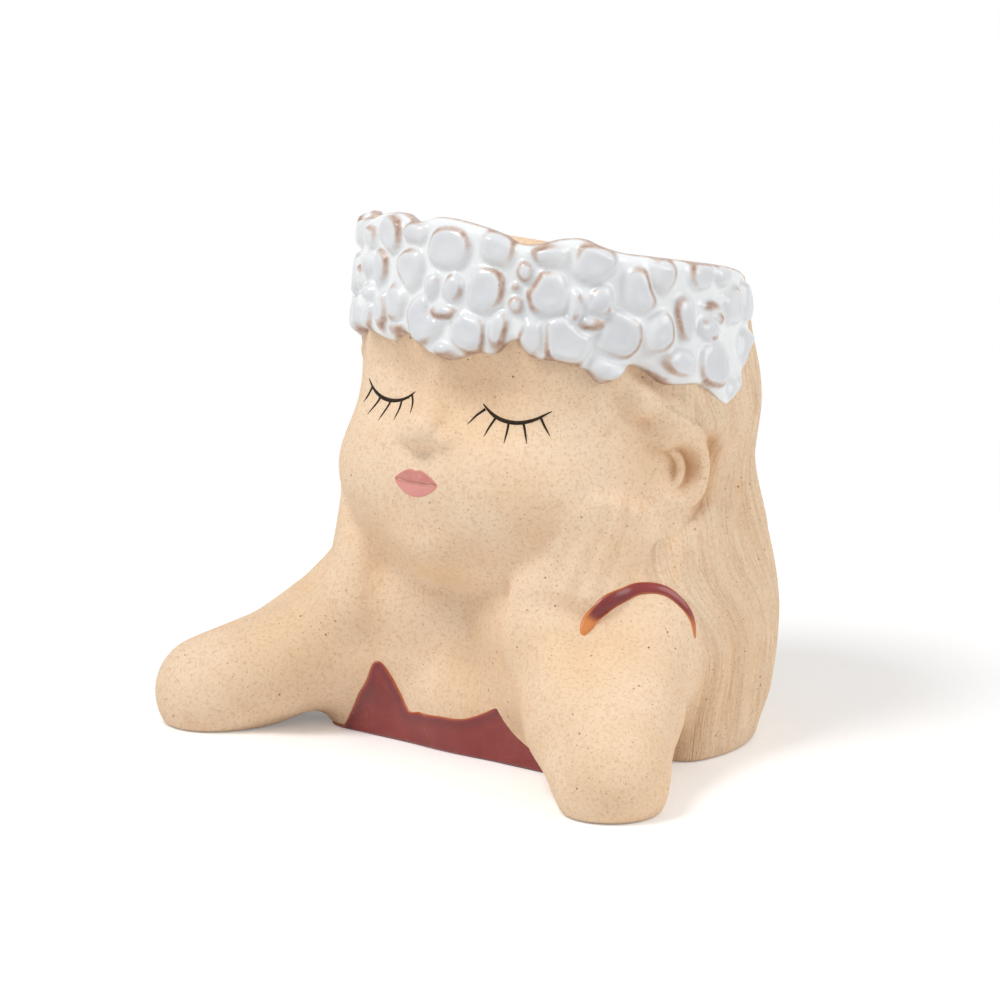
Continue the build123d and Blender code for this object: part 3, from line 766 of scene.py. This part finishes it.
LOWER_EDGE = [
    (-124, 36), (-120, 28), (-114, 20), (-105, 14.5), (-95, 17), (-85, 12.5), (-75, 17), (-62, 13),
    (-52, 19), (-41, 14), (-33, 16.5), (-26, 15.3), (-17, 13.9), (-8, 17), (2, 12.7), (9.5, 11.5),
    (19, 14.9), (26, 16.1), (30, 20.3), (36, 16.6), (45, 16.2), (53, 15.2), (60, 11.7), (68, 18.2),
    (79.5, 14.2), (88, 15.6), (94, 14.2), (99, 11.2), (104.5, 12), (108, 18), (112, 25), (118, 31),
    (127, 36)
]
UPPER_EDGE = [
    (-124, 43), (-119, 48), (-110, 50.5), (-95, 49), (-80, 51), (-68, 49), (-55, 51), (-41, 48.5),
    (-26, 50.5), (-15, 51), (-10, 49.4), (0, 51.8), (13, 51.4), (23, 49.7), (29, 48), (33, 48.7),
    (39.5, 51.3), (48, 52.6), (52, 51.6), (58, 50.7), (69, 50.8), (84, 51.1), (101, 51.1), (115, 50),
    (127, 48)
]

ROSE_A = [(7.4, 29.1), [(2.4, 32.2, 5, 8), (9.8, 32.4, 5.6, 8), (8.1, 25, 10.8, 4.3)], [
    (6.5, 43.9, 14.6, 11.7), (-7.1, 35.4, 11.2, 12.3), (-11.7, 25.2, 8.9, 14.5), (0.3, 22.1, 13.1, 14.2),
    (19.9, 33.5, 11.7, 13.6), (16.5, 20.4, 12, 12.3), (25.1, 22.4, 6.3, 12.3), (21.9, 46.6, 10.9, 10.5),
    (-7.1, 46.8, 11.2, 6.8), (9.1, 13.6, 9.2, 4.3)
]]
ROSE_B = [(51.7, 32.2), [(46.8, 32.6, 4, 9.9), (54.2, 35.2, 6.9, 9.3), (52.2, 29.3, 7.5, 4.3)], [
    (38.3, 35, 11.6, 13.3), (45.8, 22.3, 15.3, 14.2), (61.2, 26.8, 13.7, 13.6), (35.5, 21.8, 8, 13),
    (65.1, 40.7, 10.8, 13), (50.4, 46.8, 13, 11.1), (37.1, 46.7, 10.4, 6.2), (72.9, 28.3, 9.4, 13),
    (70.7, 45.9, 8.9, 11.7), (60.9, 15.4, 14.4, 6.8)
]]
ROSE_C = [(93.1, 35.8), [(91.4, 38.6, 9.8, 3.1), (94.6, 36.2, 6.3, 3.7), (90.8, 31.7, 9.6, 5.6)], [
    (80.5, 34, 8, 13), (86.5, 47.8, 11.5, 8.6), (97.2, 49.6, 9, 8), (104.4, 39.8, 14, 10.5),
    (114.5, 26.8, 12, 12.3), (94.2, 22.3, 14, 12.3), (79.5, 20.1, 12.6, 11.1), (109.5, 14.6, 14, 8),
    (78.3, 16.4, 13.2, 6.2), (115, 42, 10, 11)
]]
ROSE_D = [(-33, 29), [(-29.5, 35.5, 8.7, 6.8), (-28.4, 27.1, 6.6, 5.6), (-36, 31, 5, 8)], [
    (-21.7, 35.3, 7.7, 13), (-18.9, 22, 7.1, 12.3), (-31.3, 43.5, 13.3, 6.2), (-18.4, 45.2, 12.8, 10.5),
    (-27.7, 19.6, 6.4, 9.3), (-40.5, 19.5, 11, 11), (-45.5, 31, 10, 12), (-43.5, 44.5, 12, 9)
]]
ROSE_E = [(-80, 33), [(-77, 36.5, 6, 8), (-83, 36, 6, 7), (-80, 28.5, 10, 4.6)], [
    (-67, 32, 10, 12), (-71.5, 45.5, 12, 9), (-85, 47.5, 12, 8), (-94, 38, 11, 13), (-91, 22.5, 13, 12),
    (-76, 20, 14, 11), (-60.5, 20.5, 10, 11), (-57, 44, 11, 10), (-55.5, 31, 7, 9), (-106, 28, 11, 13),
    (-105, 44, 12, 10), (-104, 16.5, 12, 5), (-116, 38, 9, 11), (-117, 24.5, 9, 8)
]]
ROSES = [ROSE_A, ROSE_B, ROSE_C, ROSE_D, ROSE_E]
LEAVES = [(30.7, 40.6, 6.2, 6.8), (29.8, 31, 5.6, 5.6), (29.1, 35.6, 3.7, 4.9), (-11.5, 18.4, 10.8, 5.6)]

GARLAND_RADIUS = 60.5
GARLAND_END = 123.0  # degrees from the brow to either end
GARLAND_HEIGHT = 40.0
GARLAND_TOP = 53.0  # the petals stand over the rim, up to this height
BUD_SIZE = (11, 12.6)
GROUND_RISE = 2.5
PETAL_RISE = 1.9
PETAL_SHOULDER = 1.15
PETAL_GROWTH = 1.12  # petals grow until they meet their neighbours
PETAL_GAP = 0.9  # white groove between neighbours
PETAL_DOME = 4.2  # how far in from its edge a petal still rises
UNDER = -9.0  # depth to start from where no petal lies


def softened(values, times):
    for _ in range(times):
        for axis in (0, 1):
            v = np.moveaxis(values, axis, 0)
            v[1:-1] = (v[:-2] + 2 * v[1:-1] + v[2:]) / 4
    return values


def rounded(share):
    """Height of a quarter round, from 0 at its edge to 1."""
    return np.sqrt(np.clip(1 - (1 - np.clip(share, 0, 1)) ** 2, 0, 1))


def garland_base(angles, heights):
    """Radius of the head under the garland, looked up on a coarse net and run smoothly between."""
    net = 3.0
    coarse_angles, coarse_heights = np.arange(-126, 131, net), np.arange(6, 57, net)
    a, h = np.meshgrid(np.radians(coarse_angles), coarse_heights)
    out = np.stack([np.sin(a), -np.cos(a), 0 * a], -1).reshape(-1, 3)
    far = 110.0
    starts = from_head(out * far + np.stack([0 * a, 0 * a, h], -1).reshape(-1, 3))
    inward = from_head(np.zeros((len(out), 3))) - from_head(out)
    hits = to_head(meet(trunk, starts, inward, far))
    table = np.hypot(hits[:, 0], hits[:, 1]).reshape(a.shape)
    x = np.clip((angles - coarse_angles[0]) / net, 0, len(coarse_angles) - 1.001)
    y = np.clip((heights - coarse_heights[0]) / net, 0, len(coarse_heights) - 1.001)
    i, j = x.astype(int), y.astype(int)
    s, t = x - i, y - j
    return ((table[j, i] * (1 - s) + table[j, i + 1] * s) * (1 - t)
            + (table[j + 1, i] * (1 - s) + table[j + 1, i + 1] * s) * t)


def make_garland(white):
    columns = int(math.radians(2 * GARLAND_END) * GARLAND_RADIUS / GARLAND_GRID)
    rows = int(GARLAND_HEIGHT / GARLAND_GRID)
    angle = np.linspace(-GARLAND_END, GARLAND_END, columns)
    low = curve(angle, *zip(*LOWER_EDGE)) - 0.4
    high = np.minimum(curve(angle, *zip(*UPPER_EDGE)) + 0.8 * smooth(60, 20, np.abs(angle)), GARLAND_TOP)
    share = np.linspace(0, 1, rows)[:, None]
    height = low + (high - low) * share
    angles = np.broadcast_to(angle, height.shape)
    along = np.radians(angles) * GARLAND_RADIUS
    u = along + 0.35 * np.sin(height / 2.3 + along / 5.1) + 0.25 * np.sin(along / 1.9 - height / 3.7)
    v = height + 0.35 * np.sin(along / 2.7 + 1.0) + 0.25 * np.sin(height / 1.7 + along / 3.3)

    first = second = np.full(height.shape, UNDER)
    facing = np.zeros(height.shape)

    def inset_of(middle, size, corner):
        """How deep a point lies within a petal, in millimetres, and its place about the middle."""
        x = u - math.radians(middle[0]) * GARLAND_RADIUS
        y = v - middle[1]
        a, b = size[0] / 2.0 * PETAL_GROWTH, size[1] / 2.0 * PETAL_GROWTH
        n = (np.abs(x / a) ** corner + np.abs(y / b) ** corner) ** (1 / corner)
        return (1 - n) * min(a, b) * 1.08, x, y

    def away_from(heart, middle, x, y):
        """Plus one on the side of a petal that looks away from its bud, minus one on the near side."""
        hx = math.radians(middle[0] - heart[0]) * GARLAND_RADIUS
        hy = middle[1] - heart[1]
        reach = math.hypot(hx, hy) + 1e-6
        return (x * hx + y * hy) / reach / (np.hypot(x, y) + 0.6)

    def over(first, second, facing, inset, away, where=True):
        """Deepest and next deepest petal at each point, with one more petal laid among them."""
        wins = inset > first
        return (np.where(wins, inset, first), np.where(wins, first, np.maximum(second, inset)),
                np.where(wins & where, away, facing))

    def shape_petals(inset, away, lift, dish):
        shoulder = 1 - (1 - np.clip(inset / PETAL_SHOULDER, 0, 1)) ** 2
        dome = 1 - (1 - np.clip(inset / PETAL_DOME, 0, 1)) ** 2
        top = 0.62 * lift * shoulder + 0.75 * lift * dome - dish * smooth(2.2, 5.5, inset)
        band = np.exp(-((inset - 0.9) / 0.85) ** 2) * np.clip(0.62 + 0.8 * away, 0.1, 1.3)
        return np.where(inset > 0, top, 0), band, smooth(0.9, 3.4, inset)

    raised = [(heart, petal, 2.3) for heart, _, petals in ROSES for petal in petals]
    raised += [(None, leaf, 2.2) for leaf in LEAVES]
    for heart, (x, y, w, h), corner in raised:
        inset, dx, dy = inset_of((x, y), (w, h), corner)
        away = away_from(heart, (x, y), dx, dy) if heart else 0.3
        first, second, facing = over(first, second, facing, inset, away)
    best = blend(first, (first - second) * 0.6 - PETAL_GAP / 2.0, 1.6)
    rise, thin, pool = shape_petals(best, facing, PETAL_RISE, 0.5)
    for heart, folds, _ in ROSES:
        bud = inset_of(heart, BUD_SIZE, 2.0)[0]
        inner = other = np.full(height.shape, UNDER)
        for x, y, w, h in folds:
            inset, dx, dy = inset_of((x, y), (w * 1.12, h * 1.05), 2.0)
            away = away_from(heart, (x, y), dx, dy) + 0.4
            inner, other, facing = over(inner, other, facing, inset, away, bud > 0)
        inner = np.minimum(inner, (inner - other) * 0.6 - 0.25)
        top, band, depth = shape_petals(inner, facing, PETAL_RISE + 0.5, 0.0)
        inside = smooth(-0.5, 0.5, np.maximum(bud, inner))
        rise = rise * (1 - inside) + np.maximum(top, 0.5) * inside
        thin = thin * (1 - inside) + band * inside
        pool = pool * (1 - inside) + depth * inside
        best = best * (1 - inside) + inner * inside

    groove = smooth(0.3, -1.2, best)
    from_low, from_high = height - low, high - height
    edge_low, edge_high = rounded(from_low / 2.6), rounded(from_high / 3.4)
    per_degree = 1.06  # millimetres round the head
    ends = smooth(0, 5, (GARLAND_END - np.abs(angles)) * per_degree)
    ground = GROUND_RISE - 1.8 * smooth(72, 108, np.abs(angles))
    lift = softened(ground + rise, 2 if GARLAND_GRID > 0.6 else 4)
    lift = (lift + 0.7) * edge_low * edge_high * ends - 0.7
    lift[-1] = np.maximum(lift[-1], -0.2)
    thin = softened(thin, 2)
    radius = garland_base(angles, height)
    a = np.radians(angles)
    out = np.stack([np.sin(a), -np.cos(a), 0 * a], -1)
    points = from_head(out * radius[..., None] + np.stack([0 * a, 0 * a, height], -1))
    normals = from_head(out) - HEAD_PIVOT
    edge_brown = np.exp(-(from_low / 0.9) ** 2) * 0.75 + np.exp(-(from_high / 0.6) ** 2) * 0.9
    marks = {"thin": np.clip(thin + edge_brown, 0, 1), "pool": pool, "groove": groove}
    coat("rose_garland", points, normals, lift, 2.2, white, GARLAND_NODES, marks)


# Red glaze of the dress

NECKLINE = [
    (-50, 0.9), (-42, 1.2), (-38.5, 5.8), (-33.1, 12.8), (-27.6, 20), (-25.2, 25), (-23.4, 25),
    (-21.4, 22.3), (-18.7, 16.3), (-17, 12.4), (-10.5, 10.9), (-2, 11.3), (7.7, 12.2), (14.8, 15.2),
    (21, 18.8), (25.5, 21.6), (29, 20), (36, 9), (42, 2), (50, 0.9)
]
BODICE_HALF_WIDTH = 49
HEM_HEIGHT = 0.35
FRONT_REACH = 80.0  # from before the figure back to its middle


def make_bodice(red):
    columns, rows = 150, 40
    x = np.linspace(-BODICE_HALF_WIDTH, BODICE_HALF_WIDTH, columns)
    top = np.maximum(curve(x, *zip(*NECKLINE)), 1.2)
    share = np.linspace(0, 1, rows)[:, None]
    z = HEM_HEIGHT + (top - HEM_HEIGHT) * share
    xs = np.broadcast_to(x, z.shape)

    def front(p):
        """The clay that the glaze lies on; it runs on behind the near arm."""
        return carve(np.where(p[:, 0] < 0, outside(p), trunk(p)), p[:, 2], 1.6)

    starts = np.stack([xs, np.full(z.shape, -FRONT_REACH), z], -1).reshape(-1, 3)
    points, normals = laid_out(front, meet(front, starts, (0, 1, 0), FRONT_REACH), z.shape)
    from_top = (top - z) * np.broadcast_to(1 / np.sqrt(1 + np.gradient(top, x) ** 2), z.shape)
    lift = 0.75 * rounded(from_top / 1.1) - 0.12
    side = smooth(0, 1.5, BODICE_HALF_WIDTH - np.abs(xs))
    lift = (lift + 0.3) * side * smooth(-0.4, 0.6, z) - 0.3
    thin = np.exp(-(from_top / 0.55) ** 2) * 0.5
    pool = smooth(4.5, 1.2, from_top) * smooth(0.5, 1.4, from_top)
    coat("bodice_red", points, normals, lift, 1.2, red, ["bodice_glaze"],
         {"thin": thin, "pool": pool})


SLEEVE_PATH = [
    (51, -39.5, 44.2), (50.2, -36.1, 47), (50.6, -33.4, 49.6), (51.8, -30.9, 52), (53.2, -27.6, 53.9),
    (54.8, -23.6, 55), (56.8, -19.4, 55.6), (59, -16.7, 55.3), (61.4, -14, 54.2), (63.6, -11.8, 52),
    (65.6, -10, 49.2), (67.2, -9.1, 45.6), (68.3, -9.3, 42.6), (69.4, -10, 38.9)
]


def make_sleeve(name, side, node, red):
    """Bead of red glaze that runs over the top of a shoulder."""
    rows, columns = 90, 15
    line, share = along_path(SLEEVE_PATH, rows)
    line = settle(outside, line, 1.5, 6)
    line = softened(line[:, None, :].repeat(3, 1), 3)[:, 1]
    across = beside(outside, line)[1]
    widest = 2.5
    half = curve(share, [0, 0.08, 0.2, 0.4, 0.6, 0.8, 0.93, 1], [0.5, 1.9, widest, 2.1, 1.7, 1.2, 0.8, 0.25])
    s = np.linspace(-1, 1, columns)
    points = line[:, None] + across[:, None] * (half[:, None] * s)[..., None]
    points = settle(outside, points.reshape(-1, 3), 0.5, 4)
    points, normals = laid_out(outside, points, (rows, columns))
    ends = smooth(0, 0.05, share) * smooth(1, 0.93, share)
    lift = (1.1 * np.sqrt(np.clip(1 - s ** 2, 0, 1)) * (half / widest)[:, None] + 0.25) * ends[:, None] - 0.25
    share = share[:, None]
    thin = smooth(0.2, 0.06, share) + 0.6 * smooth(0.72, 0.95, share) + 0.5 * smooth(0.6, 1, np.abs(s))
    pool = smooth(0.1, 0.2, share) * smooth(0.62, 0.3, share) * smooth(1.0, 0.4, np.abs(s))
    flip = np.array([side, 1, 1.0])
    coat(name, points * flip, normals * flip, lift, 0.9, red, [node],
         {"thin": np.clip(thin, 0, 1), "pool": pool})


# Painted face

def on_face(x, height):
    """Points of the face seen straight from the front of the leaning head."""
    x, height = np.array(x, float), np.array(height, float)
    starts = from_head(from_face(np.stack([x, np.full(x.shape, -75.0), height], -1)))
    ahead = from_head(from_face(np.array([0.0, -1.0, 0.0]))) - HEAD_PIVOT
    points = meet(trunk, starts, -ahead, reach=70.0)
    return settle(trunk, points, 0.3, 3)


LIPS_HALF_WIDTH = 8.3
LIPS_HEIGHT = -26.4  # of their parting, below the middle of the head


def make_lips(pink):
    columns, rows = 81, 49
    x = np.linspace(-LIPS_HALF_WIDTH, LIPS_HALF_WIDTH, columns)
    share = np.clip(np.abs(x) / LIPS_HALF_WIDTH, 0, 1)
    parting = LIPS_HEIGHT + 0.5 * share ** 2
    upper = parting + 4.7 * (1 - share ** 1.7) ** 0.9 - 0.7 * np.exp(-(x / 1.3) ** 2)
    lower = parting - 4.3 * (1 - share ** 2) ** 0.75
    t = np.linspace(-1, 1, rows)[:, None]
    z = parting + np.where(t > 0, t * (upper - parting), -t * (lower - parting))
    xs = np.broadcast_to(x, z.shape)
    points, normals = laid_out(trunk, on_face(xs.ravel(), z.ravel()), z.shape)
    inset = np.minimum(np.minimum(upper - z, z - lower), (LIPS_HALF_WIDTH - np.abs(xs)) * 0.8)
    seam = np.exp(-((z - parting) / 0.33) ** 2) * smooth(1.0, 0.8, share)
    lift = 0.32 * smooth(-0.1, 0.7, inset) - 0.12 - 0.22 * seam
    marks = {"upper": smooth(-0.1, 0.3, z - parting), "parting": seam * 0.8, "thin": smooth(0.7, 0.0, inset)}
    coat("lips_pink", points, normals, lift, 0.8, pink, ["lips"], marks)


# Closed eye of the figure's left side: across and up on the face

LASH_LINE = [(12.2, 0.0), (14, -1.4), (17, -3.0), (21, -3.9), (25, -3.7), (29, -2.2), (33.3, 1.2)]
LASHES = [((13.2, -1.4), (11.4, -3.6), (10.1, -6.7)), ((17.3, -3.2), (16.6, -6.0), (16.4, -9.4)),
          ((21.7, -3.8), (22.3, -6.8), (23.1, -10.4)), ((26.2, -3.3), (27.5, -6.0), (29.2, -9.3)),
          ((30.8, -1.0), (32.0, -3.3), (33.9, -6.1))]


def stroke(points, half_widths, count):
    """A painted line on the face: a thin closed body of lens section, tapered to its ends."""
    line, share = along_path(points, count)
    line = on_face(*line.T)
    normals, across = beside(trunk, line)
    half = curve(share, *half_widths)
    sides = 10
    turns = np.arange(sides) / sides * 2 * np.pi
    rings = (line[:, None] + across[:, None] * (half[:, None] * np.cos(turns))[..., None]
             + normals[:, None] * (np.minimum(half, 0.3)[:, None] * np.sin(turns))[..., None])
    verts = rings.reshape(-1, 3).tolist() + [line[0].tolist(), line[-1].tolist()]
    faces = []
    for k in range(0, (count - 1) * sides, sides):
        for i in range(sides):
            j = (i + 1) % sides
            faces.append((k + i, k + j, k + sides + j, k + sides + i))
    for i in range(sides):
        j = (i + 1) % sides
        faces.append((count * sides, j, i))
        faces.append((count * sides + 1, (count - 1) * sides + i, (count - 1) * sides + j))
    return verts, faces


EYES_ASIDE = 1.8  # both eyes are painted this far towards the figure's left


def make_lashes(name, side, node, paint):
    verts, faces = [], []
    strokes = [(LASH_LINE, ([0, 0.12, 0.35, 0.6, 0.85, 1], [0.16, 0.42, 0.62, 0.6, 0.38, 0.12]), 40)]
    for lash in LASHES:
        strokes.append((lash, ([0, 0.3, 0.7, 1], [0.42, 0.36, 0.26, 0.08]), 16))
    for points, widths, count in strokes:
        placed = [(side * x + EYES_ASIDE, z) for x, z in points]
        new_verts, new_faces = stroke(placed, widths, count)
        faces += [tuple(i + len(verts) for i in face) for face in new_faces]
        verts += new_verts
    piece(name, verts, faces, paint, [node])


# Table, light and camera

CAMERA_TURN = 40.0  # degrees from straight ahead, to the figure's left
CAMERA_BACK, CAMERA_LIFT = 2.2, 0.53  # metres away and up
PIXELS_PER_MM = 3.28
ORIGIN_SEEN_AT = (534.6, 725.0)  # pixels from the picture's upper left corner
PICTURE = 1000
WORLD_LIGHT = 0.47
WHITE = (1.0, 1.0, 1.0)


def make_table():
    f = Finish("table")
    rays = f.seen_rays()
    grain = f.noise(f.place(), 40.0, 2.0, 0.5)
    tone = f.mix(grain.ramp(0.3, 0.7), (0.93, 0.93, 0.93), (0.94, 0.94, 0.94))
    f.set(Base_Color=tone, Roughness=0.9, Specular_IOR_Level=0.0)
    glow = f.node("ShaderNodeEmission", {}, WHITE, rays * 0.2)
    near = f.node("ShaderNodeAddShader", {}, f.shader, glow)
    far = f.node("ShaderNodeVectorMath", {"operation": "LENGTH"}, f.place(), out=1).ramp(0.16, 0.42)
    white = f.node("ShaderNodeEmission", {}, WHITE, 1.0)
    f.show(f.node("ShaderNodeMixShader", {}, rays * far, near, white))
    mesh = bpy.data.meshes.new("table_top")
    rings, count = [0.3, 0.8, 2.0, 6.0, 20.0], 48
    verts, faces = [], []
    for r in rings:
        for k in range(count):
            a = 2 * math.pi * k / count
            verts.append((r * math.cos(a), r * math.sin(a), 0.0))
    verts.append((0.0, 0.0, 0.0))
    for k in range(count):
        j = (k + 1) % count
        faces.append((len(verts) - 1, k, j))
        for i in range(len(rings) - 1):
            faces.append((i * count + k, (i + 1) * count + k, (i + 1) * count + j, i * count + j))
    mesh.from_pydata(verts, [], faces)
    mesh.materials.append(f.owner)
    table = add("table_top", mesh)


def aimed(name, data, target, away):
    """A lamp or camera set away from a target and turned towards it."""
    obj = add(name, data)
    obj.location = target + away
    obj.rotation_mode = "QUATERNION"
    obj.rotation_quaternion = away.to_track_quat("Z", "Y")
    return obj


def soft_lamp(name, turn, rise, distance, size, power):
    """Round lamp aimed at the figure: degrees from straight ahead and upwards, metres, watts."""
    lamp = bpy.data.lights.new(name, "AREA")
    lamp.shape, lamp.size, lamp.energy = "DISK", size, power
    a, e = math.radians(turn), math.radians(rise)
    away = Vector((math.sin(a) * math.cos(e), -math.cos(a) * math.cos(e), math.sin(e)))
    aimed(name, lamp, Vector((0, 0, 0.08)), away * distance)


def make_light():
    world = bpy.data.worlds.new("studio")
    bpy.context.scene.world = world
    f = Nodes(world, "ShaderNodeOutputWorld")
    lit = f.node("ShaderNodeBackground", {}, WHITE, WORLD_LIGHT)
    seen = f.node("ShaderNodeBackground", {}, WHITE, 1.0)
    f.show(f.node("ShaderNodeMixShader", {}, f.seen_rays(), lit, seen))
    soft_lamp("key", -18, 57, 1.3, 0.6, 8.9)
    soft_lamp("fill", 110, 32, 1.6, 1.2, 8.4)


def make_camera():
    """Looks at the figure from afar, with a lens that shows it as large as in the photograph."""
    turn = math.radians(CAMERA_TURN)
    right = Vector((math.cos(turn), math.sin(turn), 0))
    back = Vector((math.sin(turn) * CAMERA_BACK, -math.cos(turn) * CAMERA_BACK, CAMERA_LIFT))
    up = back.normalized().cross(right)
    target = Vector((0, HOME_Y * MM, 0))
    target += right * ((PICTURE / 2 - ORIGIN_SEEN_AT[0]) / PIXELS_PER_MM * MM)
    target += up * ((ORIGIN_SEEN_AT[1] - PICTURE / 2) / PIXELS_PER_MM * MM)
    camera = bpy.data.cameras.new("camera")
    sensor = 36.0
    camera.sensor_width = sensor
    camera.lens = sensor * PIXELS_PER_MM / PICTURE / MM * back.length
    camera.clip_end = 50.0
    bpy.context.scene.camera = aimed("camera", camera, target, back)


def colour_stopper(rubber):
    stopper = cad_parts["drain_stopper"]
    stopper.data.materials.clear()
    stopper.data.materials.append(rubber)


make_figure(clay_finish())
make_garland(white_glaze_finish())
red_glaze = red_glaze_finish()
make_bodice(red_glaze)
make_sleeve("sleeve_red_left", 1, "sleeve_glaze_left", red_glaze)
make_sleeve("sleeve_red_right", -1, "sleeve_glaze_right", red_glaze)
make_lips(pink_glaze_finish())
dark_paint = lash_finish()
make_lashes("lash_lines_left", 1, "lashes_left", dark_paint)
make_lashes("lash_lines_right", -1, "lashes_right", dark_paint)
colour_stopper(rubber_finish())
make_table()
make_light()
make_camera()

bpy.context.scene.view_settings.view_transform = "Standard"
